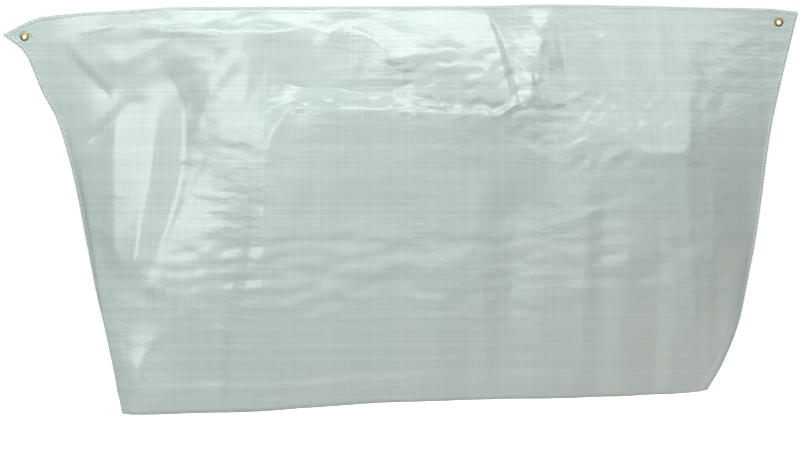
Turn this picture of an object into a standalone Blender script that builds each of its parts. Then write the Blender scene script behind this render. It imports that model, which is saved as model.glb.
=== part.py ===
"""Bicycle cover: two sheets of coated woven polyethylene, sewn together along the top and both sides and
open at the bottom, as they hang over a bicycle, with a brass eyelet in each top corner.

Metres, +X along the cover, +Y to its far side, +Z up. The origin is under the middle of the top seam,
where a saddle or a line would hold the cover up. The front sheet is the one at -Y.
"""
import math
from collections import namedtuple

import bpy
import numpy as np

# ---------------------------------------------------------------- driving sizes
CUT_WIDTH = 2.10           # each sheet as cut, along the cover
DROP_HEIGHT = 1.04         # from the top seam down to the hem, as the cover hangs
SHEET = 0.0015             # thickness of one sheet
GAP = 0.0003               # clearance between neighbouring pieces
FLANGE = 0.012             # sewn margin outside the seam line
HEM_STEP = 0.004           # height over which the hem's second layer begins
CORNER_WIDTH = 0.115       # cloth strip that carries an eyelet, along the top
CORNER_HEIGHT = 0.092      # and down the side
STRIP_BLEND = 0.12         # the shelf's lower edge runs level with a strip's, then leaves it over this length
SEAM_BLEND = 0.06          # and the lines below it reach their places on the seams over this length

SETTLE_STEPS = 12          # rounds of finding where a line crosses the columns
LEAST_BAND = 0.012         # share of the drop that a band keeps where its lines run together
FLANK_POWER = 1.3          # a fold's flanks: 1 is straight, more is hollow at the foot

EYELET_CENTRES = {"left": (-0.9936, -0.0687), "right": (1.0024, -0.0306)}
EYELET_OUTER = 0.0125      # radius of its flanges
EYELET_BORE = 0.0060       # radius of its hole
EYELET_BARREL = 0.0068     # radius of its barrel outside
EYELET_CROWN = 0.0016      # how far a flange domes out
EYELET_STEPS = 32          # sides round the ring
DOME_STEPS = 6             # facets across its dome
CUTTER_REACH = 0.02        # how far the cutter of its hole stands out each side

FRONT, BACK = -1, 1        # the Y side on which each sheet lies

Point = namedtuple("Point", "x z")

# Outline of the hanging cover, at the outer edge of the flange and of the hem.
TOP_EDGE = [
    Point(-1.0485, -0.0597), Point(-0.9493, -0.0180), Point(-0.8300, -0.0060), Point(-0.7119, 0.0010),
    Point(-0.5822, 0.0090), Point(-0.3440, 0.0100), Point(-0.0500, 0.0110), Point(0.2117, 0.0120),
    Point(0.3890, 0.0160), Point(0.6431, 0.0120), Point(0.8059, 0.0080), Point(0.9678, 0.0050),
    Point(1.0515, -0.0026),
]
LEFT_EDGE = [
    Point(-1.0485, -0.0597), Point(-0.9956, -0.1079), Point(-0.9448, -0.2182), Point(-0.9083, -0.2865),
    Point(-0.8760, -0.3900), Point(-0.8500, -0.5000), Point(-0.8270, -0.6100), Point(-0.7950, -0.7500),
    Point(-0.7540, -0.9000), Point(-0.7170, -1.0360),
]
RIGHT_EDGE = [
    Point(1.0515, -0.0026), Point(1.0030, -0.2098), Point(0.9787, -0.3286), Point(0.9543, -0.5120),
    Point(0.9408, -0.6041), Point(0.9191, -0.7174), Point(0.9000, -0.8119), Point(0.8450, -0.9300),
    Point(0.7960, -1.0040),
]
HEM_EDGE = [
    Point(-0.7170, -1.0360), Point(-0.5600, -1.0380), Point(-0.3730, -1.0330), Point(-0.0200, -1.0140),
    Point(0.2520, -1.0100), Point(0.4970, -1.0080), Point(0.7960, -1.0040),
]

# The sheets hang in bands, from the seam down to the hem. Both sheets are sewn together where a band ends,
# at these shares of the left and right side seams. Rows is how many rows of cells fill the band.
Band = namedtuple("Band", "what rows left right")
BANDS = [
    Band("shelf under the seam", 3, 0.077, 0.077),
    Band("upright band", 3, 0.150, 0.170),
    Band("slope over the frame", 4, 0.270, 0.460),
    Band("upper side", 5, 0.650, 0.640),
    Band("lower side", 3, 0.820, 0.820),
    Band("side above the hem", 2, 0.932, 0.931),
    Band("hem", 2, 1.000, 1.000),
]
HEM_BAND = 6

# The line at the foot of each band: its softness is the radius of the bend there, and each of its points
# has x, z and how far the sheet stands off the seam plane, in millimetres.
Line = namedtuple("Line", "what softness points")
FRONT_LINES = [
    Line("lower edge of the shelf under the seam", 0.006, [
        (-0.930, -0.150, 0), (-0.850, -0.088, 1), (-0.793, -0.040, 3), (-0.712, -0.037, 12),
        (-0.630, -0.043, 28), (-0.570, -0.052, 40), (-0.521, -0.070, 52), (-0.417, -0.062, 48),
        (-0.287, -0.058, 44), (-0.247, -0.024, 18), (-0.206, -0.055, 42), (-0.130, -0.059, 48),
        (-0.065, -0.097, 72), (-0.036, -0.138, 96), (0.023, -0.142, 98), (0.085, -0.108, 80),
        (0.206, -0.122, 84), (0.296, -0.138, 90), (0.364, -0.115, 76), (0.402, -0.055, 26),
        (0.527, -0.043, 14), (0.738, -0.040, 12), (0.898, -0.064, 5), (0.966, -0.080, 0)]),
    Line("foot of the upright band", 0.007, [
        (-0.960, -0.200, 0), (-0.899, -0.170, 4), (-0.754, -0.227, 34), (-0.717, -0.252, 46),
        (-0.629, -0.251, 60), (-0.593, -0.217, 58), (-0.556, -0.134, 60), (-0.505, -0.116, 66),
        (-0.411, -0.130, 72), (-0.378, -0.153, 68), (-0.340, -0.165, 64), (-0.260, -0.207, 62),
        (-0.182, -0.209, 62), (-0.088, -0.230, 66), (0.026, -0.238, 88), (0.077, -0.242, 98),
        (0.174, -0.250, 106), (0.256, -0.250, 108), (0.336, -0.238, 100), (0.418, -0.137, 44),
        (0.523, -0.115, 36), (0.628, -0.109, 34), (0.754, -0.146, 36), (0.841, -0.134, 22),
        (0.950, -0.180, 6), (1.010, -0.200, 0)]),
    Line("edge over the lamp, the frame and the carrier", 0.005, [
        (-0.930, -0.300, 6), (-0.897, -0.330, 16), (-0.738, -0.529, 104), (-0.659, -0.662, 140),
        (-0.615, -0.580, 132), (-0.582, -0.504, 114), (-0.536, -0.402, 114), (-0.471, -0.366, 120),
        (-0.394, -0.357, 126), (-0.351, -0.331, 126), (-0.292, -0.296, 126), (-0.260, -0.270, 126),
        (-0.178, -0.275, 126), (0.064, -0.281, 128), (0.178, -0.279, 128), (0.244, -0.283, 126),
        (0.288, -0.273, 124), (0.334, -0.268, 118), (0.370, -0.312, 114), (0.391, -0.384, 112),
        (0.459, -0.366, 114), (0.612, -0.381, 116), (0.741, -0.381, 112), (0.784, -0.375, 92),
        (0.886, -0.424, 48), (0.976, -0.480, 8)]),
    Line("height of the hubs", 0.040, [
        (-0.840, -0.700, 90), (-0.740, -0.720, 158), (-0.650, -0.760, 190), (-0.560, -0.730, 186),
        (-0.420, -0.640, 168), (-0.330, -0.620, 166), (-0.230, -0.600, 152), (0.000, -0.600, 140),
        (0.300, -0.600, 132), (0.500, -0.620, 118), (0.740, -0.640, 98), (0.880, -0.640, 58),
        (0.960, -0.640, 16)]),
    Line("foot of the front wheel's bulge", 0.040, [
        (-0.780, -0.860, 120), (-0.700, -0.860, 182), (-0.600, -0.870, 206), (-0.480, -0.860, 200),
        (-0.280, -0.840, 178), (0.000, -0.820, 150), (0.300, -0.820, 136), (0.500, -0.820, 116),
        (0.740, -0.820, 88), (0.860, -0.820, 50)]),
    Line("hem line", 0.010, [
        (-0.735, -0.968, 130), (-0.652, -0.966, 196), (-0.560, -0.966, 208), (-0.292, -0.962, 186),
        (-0.038, -0.944, 158), (0.254, -0.940, 136), (0.511, -0.937, 112), (0.774, -0.934, 76)]),
    Line("hem", 0.010, [
        (-0.700, -1.036, 150), (-0.640, -1.037, 196), (-0.560, -1.038, 206), (-0.373, -1.033, 196),
        (-0.020, -1.014, 158), (0.252, -1.010, 136), (0.497, -1.008, 112), (0.796, -1.004, 60)]),
]
BACK_LINES = [
    Line("lower edge of the shelf under the seam", 0.012, [
        (-0.930, -0.150, 0), (-0.850, -0.090, 1), (-0.720, -0.050, 10), (-0.560, -0.064, 44),
        (-0.430, -0.090, 66), (-0.300, -0.066, 48), (-0.100, -0.070, 50), (0.120, -0.090, 62),
        (0.300, -0.130, 84), (0.400, -0.080, 44), (0.600, -0.060, 22), (0.840, -0.060, 8),
        (0.966, -0.080, 0)]),
    Line("foot of the upright band", 0.012, [
        (-0.960, -0.200, 0), (-0.860, -0.190, 6), (-0.700, -0.210, 40), (-0.540, -0.160, 66),
        (-0.420, -0.150, 84), (-0.280, -0.190, 66), (-0.100, -0.216, 64), (0.120, -0.232, 78),
        (0.320, -0.226, 96), (0.440, -0.160, 56), (0.620, -0.140, 42), (0.800, -0.160, 28),
        (0.960, -0.190, 4)]),
    Line("edge over the frame and the carrier", 0.010, [
        (-0.930, -0.300, 6), (-0.820, -0.420, 60), (-0.680, -0.460, 106), (-0.520, -0.380, 112),
        (-0.360, -0.300, 112), (-0.200, -0.276, 112), (0.060, -0.282, 114), (0.240, -0.290, 116),
        (0.380, -0.360, 114), (0.600, -0.384, 118), (0.740, -0.380, 108), (0.860, -0.420, 60),
        (0.976, -0.480, 8)]),
    Line("height of the hubs", 0.050, [
        (-0.840, -0.700, 70), (-0.720, -0.700, 124), (-0.500, -0.660, 138), (-0.200, -0.620, 128),
        (0.200, -0.620, 126), (0.500, -0.640, 118), (0.740, -0.640, 98), (0.880, -0.640, 58),
        (0.960, -0.640, 16)]),
    Line("foot of the wheels", 0.050, [
        (-0.780, -0.860, 90), (-0.650, -0.860, 136), (-0.400, -0.850, 142), (0.000, -0.830, 132),
        (0.400, -0.820, 122), (0.740, -0.820, 86), (0.860, -0.820, 50)]),
    Line("hem line", 0.010, [
        (-0.735, -0.968, 90), (-0.600, -0.966, 140), (-0.292, -0.962, 140), (-0.038, -0.944, 134),
        (0.254, -0.940, 126), (0.511, -0.937, 112), (0.774, -0.934, 76)]),
    Line("hem", 0.010, [
        (-0.700, -1.036, 96), (-0.560, -1.038, 144), (-0.373, -1.033, 140), (-0.020, -1.014, 134),
        (0.252, -1.010, 122), (0.497, -1.008, 108), (0.796, -1.004, 60)]),
]

# How each end rounds from the seam into the face, by level: reach along X and roundness
# (1 opens like a wedge, 2 is an ellipse, more is squarer), and how far the left and right seams
# swing to the far side.
End = namedtuple("End", "z left_reach left_round left_swing right_reach right_round right_swing")
ENDS = [
    End(0.00, 0.26, 1.0, 0.000, 0.20, 1.0, 0.000),
    End(-0.10, 0.24, 1.1, 0.000, 0.20, 1.0, 0.000),
    End(-0.25, 0.16, 1.4, 0.000, 0.16, 1.1, 0.000),
    End(-0.40, 0.12, 2.2, 0.006, 0.14, 1.3, 0.000),
    End(-0.60, 0.11, 3.0, 0.026, 0.12, 1.5, 0.000),
    End(-0.80, 0.11, 3.4, 0.040, 0.10, 1.7, 0.008),
    End(-1.04, 0.11, 3.5, 0.048, 0.09, 2.2, 0.040),
]
SWING_REACH = 0.22         # the swing has died out this far in from a seam
CORNER_FLAT = 0.125        # the sheets stay pressed together this far in from a top corner
CORNER_FADE = 0.16         # and have opened this much further down the side

# Main folds of each sheet. A fold is a ridge with two flanks along a line on the face, or a trough where
# its height is negative. `before` is the width of the flank to the left of the line or below it, and
# `after` that of the flank to the right or above; `round` is how blunt its crest is.
Fold = namedtuple("Fold", "what before after height round line")
FRONT_FOLDS = [
    Fold("lamp crest", 0.090, 0.032, 0.026, 0.10,
         [(-0.627, -0.252), (-0.634, -0.402), (-0.640, -0.555), (-0.661, -0.676)]),
    Fold("valley beside fork", 0.034, 0.050, -0.024, 0.30,
         [(-0.598, -0.143), (-0.594, -0.297), (-0.603, -0.453), (-0.631, -0.631)]),
    Fold("left flank of lamp", 0.024, 0.030, -0.010, 0.30,
         [(-0.750, -0.289), (-0.741, -0.426), (-0.718, -0.580), (-0.696, -0.682)]),
    Fold("ridge from grip", 0.050, 0.026, 0.014, 0.15,
         [(-0.401, -0.133), (-0.445, -0.156), (-0.486, -0.188), (-0.516, -0.232), (-0.533, -0.298)]),
    Fold("long ridge to wheel", 0.022, 0.055, 0.015, 0.15,
         [(-0.422, -0.202), (-0.454, -0.252), (-0.480, -0.294), (-0.503, -0.341), (-0.532, -0.410),
          (-0.557, -0.492), (-0.588, -0.618), (-0.619, -0.730)]),
    Fold("head tube crest", 0.065, 0.026, 0.020, 0.12,
         [(-0.254, -0.268), (-0.277, -0.280), (-0.295, -0.321), (-0.325, -0.357), (-0.343, -0.403),
          (-0.342, -0.520), (-0.328, -0.631), (-0.322, -0.782)]),
    Fold("pleat at grip", 0.010, 0.016, -0.012, 0.10,
         [(-0.414, -0.085), (-0.403, -0.110), (-0.394, -0.135), (-0.378, -0.171)]),
    Fold("valley under grip", 0.020, 0.022, -0.008, 0.30,
         [(-0.377, -0.234), (-0.363, -0.271), (-0.354, -0.316), (-0.351, -0.352)]),
    Fold("tuck before saddle", 0.014, 0.080, -0.020, 0.10,
         [(0.214, -0.012), (0.236, -0.035), (0.257, -0.087), (0.274, -0.142), (0.287, -0.209),
          (0.296, -0.267)]),
    Fold("saddle crest", 0.100, 0.024, 0.026, 0.10,
         [(0.388, -0.010), (0.380, -0.043), (0.366, -0.100), (0.348, -0.155), (0.336, -0.221),
          (0.335, -0.256)]),
    Fold("crest behind saddle", 0.080, 0.040, 0.008, 0.20,
         [(0.536, -0.010), (0.557, -0.081), (0.578, -0.177), (0.585, -0.257)]),
    Fold("carrier crest", 0.110, 0.036, 0.022, 0.10,
         [(0.889, -0.096), (0.844, -0.114), (0.782, -0.158), (0.753, -0.196), (0.742, -0.271),
          (0.741, -0.381)]),
    Fold("carrier's front corner", 0.040, 0.060, 0.012, 0.30,
         [(0.378, -0.397), (0.409, -0.350), (0.441, -0.311), (0.468, -0.277)]),
    Fold("upright trough", 0.045, 0.055, -0.007, 0.30,
         [(0.305, -0.301), (0.310, -0.504), (0.338, -0.695), (0.350, -0.834), (0.368, -0.999)]),
    Fold("wheel trough", 0.035, 0.055, -0.018, 0.20,
         [(-0.568, -0.725), (-0.605, -0.787), (-0.643, -0.830), (-0.672, -0.885), (-0.697, -0.969)]),
    Fold("hooked crease", 0.020, 0.030, -0.008, 0.15,
         [(0.542, -0.759), (0.613, -0.741), (0.685, -0.739), (0.714, -0.726), (0.728, -0.693)]),
    Fold("fold beside the right seam", 0.030, 0.024, -0.012, 0.20,
         [(0.880, -0.646), (0.866, -0.724), (0.848, -0.794), (0.815, -0.866)]),
    Fold("valley down from corner", 0.034, 0.034, -0.009, 0.30,
         [(-0.920, -0.085), (-0.899, -0.104), (-0.844, -0.172), (-0.788, -0.205), (-0.754, -0.229)]),
    Fold("bump beside lamp", 0.026, 0.026, 0.012, 0.30,
         [(-0.771, -0.208), (-0.750, -0.235), (-0.745, -0.273)]),
    Fold("crescent under the bump", 0.022, 0.026, -0.010, 0.30,
         [(-0.728, -0.231), (-0.736, -0.273), (-0.758, -0.310), (-0.800, -0.341)]),
]
BACK_FOLDS = [
    Fold("ridge from far grip", 0.050, 0.060, 0.018, 0.20,
         [(-0.430, -0.150), (-0.490, -0.240), (-0.540, -0.380), (-0.580, -0.560), (-0.610, -0.720)]),
    Fold("valley beside fork", 0.050, 0.050, -0.018, 0.30,
         [(-0.610, -0.150), (-0.640, -0.320), (-0.660, -0.560)]),
    Fold("pleat under grip", 0.026, 0.030, -0.012, 0.20,
         [(-0.390, -0.170), (-0.360, -0.260), (-0.330, -0.380)]),
    Fold("head tube crest", 0.070, 0.040, 0.014, 0.20,
         [(-0.270, -0.270), (-0.310, -0.360), (-0.320, -0.560)]),
    Fold("tuck before saddle", 0.022, 0.080, -0.014, 0.15,
         [(0.150, -0.040), (0.190, -0.130), (0.220, -0.270)]),
    Fold("saddle crest", 0.090, 0.036, 0.018, 0.15,
         [(0.360, -0.020), (0.350, -0.130), (0.370, -0.330)]),
    Fold("carrier crest", 0.090, 0.045, 0.016, 0.15,
         [(0.850, -0.110), (0.770, -0.200), (0.740, -0.380)]),
    Fold("upright trough", 0.060, 0.060, -0.008, 0.30,
         [(0.040, -0.320), (0.060, -0.560), (0.030, -0.960)]),
    Fold("wheel trough", 0.050, 0.050, -0.014, 0.30,
         [(-0.540, -0.720), (-0.630, -0.800), (-0.680, -0.950)]),
]
FOLD_FADE = 0.045          # a fold dies out over this length at each end
LEAST_SHARE = 0.3          # a trough leaves at least this share of the sheet's own stand-off

FRONT_COLUMNS = 56         # cells along a row of each sheet, between the seams
BACK_COLUMNS = 42
STRIP_CELLS = 3            # of which this many cross a corner strip
DENSE = 480                # points that a row is measured with

CLOTH_COLOUR = (0.53, 0.62, 0.58, 1.0)
BRASS_COLOUR = (0.56, 0.42, 0.17, 1.0)


# ---------------------------------------------------------------- curves and smooth tables
def smooth_values(at, places, values):
    """Monotone cubic through values at rising places, read at each of the points `at`."""
    places, values = np.asarray(places, float), np.asarray(values, float)
    step = np.diff(places)
    slope = np.diff(values) / step
    before, after = slope[:-1], slope[1:]
    same_way = before * after > 0
    inner = np.where(same_way, 2 * before * after / np.where(same_way, before + after, 1), 0)
    tangent = np.concatenate([slope[:1], inner, slope[-1:]])
    at = np.clip(at, places[0], places[-1])
    cell = np.clip(np.searchsorted(places, at, side="right") - 1, 0, len(places) - 2)
    h = step[cell]
    t = (at - places[cell]) / h
    return ((2 * t**3 - 3 * t**2 + 1) * values[cell] + (t**3 - 2 * t**2 + t) * tangent[cell] * h
            + (3 * t**2 - 2 * t**3) * values[cell + 1] + (t**3 - t**2) * tangent[cell + 1] * h)


def ease(t):
    """0 below 0, 1 above 1, and a soft step between."""
    t = np.clip(t, 0, 1)
    return t * t * (3 - 2 * t)


class Curve:
    """A smooth curve through points of x and z, read at fractions of its length."""

    def __init__(self, points):
        points = np.array([(p[0], p[1]) for p in points])
        chord = np.concatenate([[0], np.cumsum(np.linalg.norm(np.diff(points, axis=0), axis=1))])
        fine = np.linspace(0, chord[-1], DENSE)
        self.x, self.z = (smooth_values(fine, chord, points[:, k]) for k in (0, 1))
        length = np.concatenate([[0], np.cumsum(np.hypot(np.diff(self.x), np.diff(self.z)))])
        self.share = length / length[-1]

    def at(self, fractions):
        return np.stack([np.interp(fractions, self.share, c) for c in (self.x, self.z)], axis=-1)


# ---------------------------------------------------------------- the sheet's surface
def seam_of(edge, inward_x, inward_z):
    """The edge moved in by the flange."""
    return [(p.x + inward_x * FLANGE, p.z + inward_z * FLANGE) for p in edge]


LEFT_CORNER = (TOP_EDGE[0].x + FLANGE, TOP_EDGE[0].z - FLANGE)
RIGHT_CORNER = (TOP_EDGE[-1].x - FLANGE, TOP_EDGE[-1].z - FLANGE)
TOP = Curve([LEFT_CORNER] + seam_of(TOP_EDGE[1:-1], 0, -1) + [RIGHT_CORNER])
LEFT = Curve([LEFT_CORNER] + seam_of(LEFT_EDGE[1:], 1, 0))
RIGHT = Curve([RIGHT_CORNER] + seam_of(RIGHT_EDGE[1:], -1, 0))
HEM = Curve([(LEFT_EDGE[-1].x + FLANGE, LEFT_EDGE[-1].z)] + HEM_EDGE[1:-1]
            + [(RIGHT_EDGE[-1].x - FLANGE, RIGHT_EDGE[-1].z)])


def face_points(across, down):
    """x and z of the sheet seen square on: a patch stretched between its three seams and its hem."""
    u, v = across[:, None], down[:, None]
    top, hem, left, right = TOP.at(across), HEM.at(across), LEFT.at(down), RIGHT.at(down)
    corners = (1 - u) * ((1 - v) * top[0] + v * hem[0]) + u * ((1 - v) * top[-1] + v * hem[-1])
    return (1 - v) * top + v * hem + (1 - u) * left + u * right - corners


def line_drops(lines, across):
    """For each line, the share of the drop at which it crosses each column."""
    drops = []
    for band, line in zip(BANDS[:-1], lines):
        line_x, line_z = [p[0] for p in line.points], [p[1] for p in line.points]
        down = np.full(len(across), (band.left + band.right) / 2)
        for _ in range(SETTLE_STEPS):
            face = face_points(across, down)
            above = face[:, 1] - smooth_values(face[:, 0], line_x, line_z)
            down = np.clip(down + above / DROP_HEIGHT, 0, 1)
        x = face[:, 0]
        for sewn, from_seam in ((band.left, x - x[0]), (band.right, x[-1] - x)):
            free = (from_seam - CORNER_WIDTH) / STRIP_BLEND if not drops else from_seam / SEAM_BLEND
            down = sewn + (down - sewn) * ease(free)
        if drops:
            down = np.maximum(down, drops[-1] + LEAST_BAND)
        drops.append(down)
    return drops + [np.ones(len(across))]


def stand_off(lines, drops, x, down):
    """Distance from the seam plane: straight bands between the lines, with a soft bend at each."""
    height = [np.zeros(len(x))] + [smooth_values(x, [p[0] for p in line.points],
                                                 [p[2] for p in line.points]) / 1000 for line in lines]
    place = [np.zeros(len(x))] + drops
    slope = [(height[k + 1] - height[k]) / ((place[k + 1] - place[k]) * DROP_HEIGHT)
             for k in range(len(lines))]
    total = slope[0] * down * DROP_HEIGHT
    for k in range(1, len(lines)):
        soft = lines[k - 1].softness
        beyond, at_seam = (down - place[k]) * DROP_HEIGHT / soft, -place[k] * DROP_HEIGHT / soft
        bend = np.logaddexp(0, beyond) - np.logaddexp(0, at_seam)
        total += (slope[k] - slope[k - 1]) * soft * bend
    return np.maximum(total, 0)


def fold_heights(folds, x, z):
    """Sum of the folds' heights at each point of the face."""
    total = np.zeros_like(x)
    for fold in folds:
        line = np.array(fold.line)
        lengths = np.linalg.norm(np.diff(line, axis=0), axis=1)
        starts = np.concatenate([[0], np.cumsum(lengths)[:-1]])
        nearest, position, right_side = np.full_like(x, 9.0), np.zeros_like(x), np.zeros_like(x, bool)
        for (ax, az), (bx, bz), start, size in zip(line[:-1], line[1:], starts, lengths):
            dx, dz = (bx - ax) / size, (bz - az) / size
            t = np.clip((x - ax) * dx + (z - az) * dz, 0, size)
            away = np.hypot(x - ax - t * dx, z - az - t * dz)
            closer = away < nearest
            nearest = np.where(closer, away, nearest)
            position = np.where(closer, start + t, position)
            right_side = np.where(closer, dx * (z - az) - dz * (x - ax) > 0, right_side)
        width = np.where(right_side, fold.after, fold.before)
        across = np.hypot(nearest / width, fold.round) - fold.round
        to_end = np.minimum(position, lengths.sum() - position)
        ends = 0.35 + 0.65 * ease(to_end / FOLD_FADE)
        total += fold.height * ends * np.maximum(0, 1 - across) ** FLANK_POWER
    return total


def end_values(z, name):
    """A column of the table of ends, read at each z."""
    levels = ENDS[::-1]
    return smooth_values(z, [e.z for e in levels], [getattr(e, name) for e in levels])


def opening(x, z, down, strip_drop):
    """0 at the side seams to 1 on the face: how the sheets part from each other along a row."""
    flat = CORNER_FLAT * (1 - ease((down - strip_drop) * DROP_HEIGHT / CORNER_FADE))
    result = np.ones_like(x)
    for side, from_seam in (("left", x - x[0]), ("right", x[-1] - x)):
        t = np.clip((from_seam - flat) / end_values(z, f"{side}_reach"), 0, 1)
        roundness = end_values(z, f"{side}_round")
        result *= (1 - (1 - t) ** roundness) ** (1 / roundness)
    return result


def swing(x, z):
    """How far the seam plane itself lies to the far side."""
    total = np.zeros_like(x)
    for side, from_seam in (("left", x - x[0]), ("right", x[-1] - x)):
        total += end_values(z, f"{side}_swing") * (1 - ease(from_seam / SWING_REACH))
    return total


def inner_thickness(in_hem):
    """Cloth on the inside of the surface that is drawn: half a sheet, and the turned-up hem's own layer."""
    return SHEET / 2 + (SHEET if in_hem else 0)


def row_stations(length, columns):
    """Distances along a row: even steps over each corner strip and even steps between the strips."""
    strip = CORNER_WIDTH - FLANGE
    return np.concatenate([
        np.linspace(0, strip, STRIP_CELLS + 1),
        np.linspace(strip, length - strip, columns - 2 * STRIP_CELLS + 1)[1:-1],
        np.linspace(length - strip, length, STRIP_CELLS + 1),
    ])


def sheet_grid(side, lines, folds, columns):
    """Drawn surface of a whole sheet as rows of points, flange included, and each row's place in the hem."""
    across = 0.5 - 0.5 * np.cos(np.linspace(0, math.pi, DENSE))   # denser at the rounded ends
    drops = line_drops(lines, across)
    bands = [np.zeros(DENSE)] + drops
    downs, in_hem = [bands[0]], [False]
    for k, band in enumerate(BANDS):
        if k == HEM_BAND:
            downs.append(bands[k] + HEM_STEP / DROP_HEIGHT)
            in_hem.append(True)
        steps = np.linspace(0, 1, band.rows + 1)[1:]
        downs += [bands[k] + (bands[k + 1] - bands[k]) * s for s in steps]
        in_hem += [k == HEM_BAND] * band.rows
    rows = []
    for down, hemmed in zip(downs, in_hem):
        face = face_points(across, down)
        x, z = face[:, 0], face[:, 1]
        share = opening(x, z, down, drops[0])
        flat = stand_off(lines, drops, x, down) * share
        lift = fold_heights(folds, x, z) * ease(share / 0.7) * ease(down / 0.03)
        off = GAP / 2 + inner_thickness(hemmed) + np.maximum(flat + lift, flat * LEAST_SHARE)
        points = np.stack([x, swing(x, z) + side * off, z], axis=1)
        length = np.concatenate([[0], np.cumsum(np.linalg.norm(np.diff(points, axis=0), axis=1))])
        at = row_stations(length[-1], columns)
        rows.append(np.stack([np.interp(at, length, points[:, k]) for k in range(3)], axis=1))
    rows = np.array(rows)
    # The flange continues each seam outwards, in the plane in which the two sheets are pressed together.
    left, right = rows[:, :1] - (FLANGE, 0, 0), rows[:, -1:] + (FLANGE, 0, 0)
    rows = np.concatenate([left, rows, right], axis=1)
    top = rows[:1] + (0, 0, FLANGE)
    return np.concatenate([top, rows], axis=0), [False] + in_hem


# ---------------------------------------------------------------- solids
def grid_normals(points, side):
    """Unit normals of a grid of points, away from the cover's inside."""
    across = np.gradient(points, axis=1)
    down = np.gradient(points, axis=0)
    normal = np.cross(across, down)
    normal /= np.linalg.norm(normal, axis=2, keepdims=True)
    return normal * (-side if normal[..., 1].mean() < 0 else side)


def add_object(name, vertices, faces, material):
    mesh = bpy.data.meshes.new(name)
    mesh.from_pydata([tuple(v) for v in vertices], [], faces)
    mesh.validate()
    mesh.materials.append(material)
    obj = bpy.data.objects.new(name, mesh)
    bpy.context.scene.collection.objects.link(obj)
    return obj


def add_material(name, colour, roughness, metallic):
    material = bpy.data.materials.new(name)
    material.use_nodes = True
    shader = material.node_tree.nodes["Principled BSDF"]
    shader.inputs["Base Color"].default_value = colour
    shader.inputs["Roughness"].default_value = roughness
    shader.inputs["Metallic"].default_value = metallic
    return material


def add_panel(name, side, lines, folds, columns, material):
    """A sheet with thickness, its hem two sheets thick, without the two corner strips."""
    points, in_hem = sheet_grid(side, lines, folds, columns)
    normals = grid_normals(points, side)
    inner = np.array([inner_thickness(hemmed) for hemmed in in_hem])[:, None, None]
    outside = points + normals * SHEET / 2
    inside = points - normals * inner
    rows, columns = points.shape[:2]
    corner_row = left = 1 + STRIP_CELLS
    right = columns - 1 - left
    kept = np.ones((rows - 1, columns - 1), bool)
    kept[:corner_row, :left] = False
    kept[:corner_row, right:] = False

    count = rows * columns
    quads = []
    for j, i in zip(*np.nonzero(kept)):
        a, b = j * columns + i, j * columns + i + 1
        c, d = (j + 1) * columns + i + 1, (j + 1) * columns + i
        quads.append((a, d, c, b))
        quads.append((a + count, b + count, c + count, d + count))
        borders = ((j - 1, i, a, b), (j, i + 1, b, c), (j + 1, i, c, d), (j, i - 1, d, a))
        for near_j, near_i, start, end in borders:
            outside_grid = not (0 <= near_j < rows - 1 and 0 <= near_i < columns - 1)
            if outside_grid or not kept[near_j, near_i]:
                quads.append((start, end, end + count, start + count))
    if side == BACK:
        quads = [q[::-1] for q in quads]
    vertices = np.concatenate([outside.reshape(-1, 3), inside.reshape(-1, 3)])
    used = sorted({v for q in quads for v in q})
    new_index = {v: k for k, v in enumerate(used)}
    faces = [tuple(new_index[v] for v in q) for q in quads]
    obj = add_object(name, vertices[used], faces, material)
    obj.data.shade_smooth()
    corner_points = {
        "left": points[:corner_row + 1, :left + 1],
        "right": points[:corner_row + 1, right:],
    }
    return obj, corner_points


def ring(name, profile, centre, material):
    """A closed profile of (radius, y) turned about the Y axis through the centre."""
    vertices, faces = [], []
    size = len(profile)
    for k in range(EYELET_STEPS):
        angle = 2 * math.pi * k / EYELET_STEPS
        for radius, y in profile:
            vertices.append((centre[0] + radius * math.cos(angle), y, centre[1] + radius * math.sin(angle)))
    for k in range(EYELET_STEPS):
        after = (k + 1) % EYELET_STEPS
        for m in range(size):
            n = (m + 1) % size
            faces.append((k * size + m, k * size + n, after * size + n, after * size + m))
    obj = add_object(name, vertices, faces, material)
    obj.data.shade_smooth()
    obj.data.set_sharp_from_angle(angle=math.radians(40))
    return obj


def plug(name, radius, reach, centre, material):
    """A round bar along Y through the centre."""
    circle = [(centre[0] + radius * math.cos(a), centre[1] + radius * math.sin(a))
              for a in np.linspace(0, 2 * math.pi, EYELET_STEPS, endpoint=False)]
    vertices = [(x, -reach, z) for x, z in circle] + [(x, reach, z) for x, z in circle]
    return add_object(name, vertices, prism_faces(len(circle)), material)


def prism_faces(count):
    """Faces of a prism whose -Y face runs anticlockwise as seen from -Y, then the same at +Y."""
    faces = [tuple(range(count)), tuple(range(2 * count - 1, count - 1, -1))]
    return faces + [(k, k + count, (k + 1) % count + count, (k + 1) % count) for k in range(count)]


def add_corner(side_name, grid, material):
    """The corner strip: both sheets pressed into one flat piece, with the eyelet's hole through it."""
    grid = grid[..., (0, 2)].copy()
    # Its two inner edges keep clear of the sheets.
    if side_name == "left":
        grid[:, -1, 0] -= GAP
    else:
        grid[:, 0, 0] += GAP
    grid[-1, :, 1] += GAP
    border = [grid[0], grid[1:, -1], grid[-1, -2::-1], grid[-2:0:-1, 0]]
    outline = np.concatenate(border)[::-1]
    half = GAP / 2 + SHEET
    count = len(outline)
    vertices = [(x, -half, z) for x, z in outline] + [(x, half, z) for x, z in outline]
    obj = add_object(f"corner_{side_name}", vertices, prism_faces(count), material)
    hole = EYELET_BARREL + GAP
    cutter = plug(f"cutter_{side_name}", hole, CUTTER_REACH, EYELET_CENTRES[side_name], material)
    cutter.hide_render = True
    cutter.display_type = "WIRE"
    cut = obj.modifiers.new("eyelet hole", "BOOLEAN")
    cut.operation = "DIFFERENCE"
    cut.solver = "EXACT"
    cut.object = cutter


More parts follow.
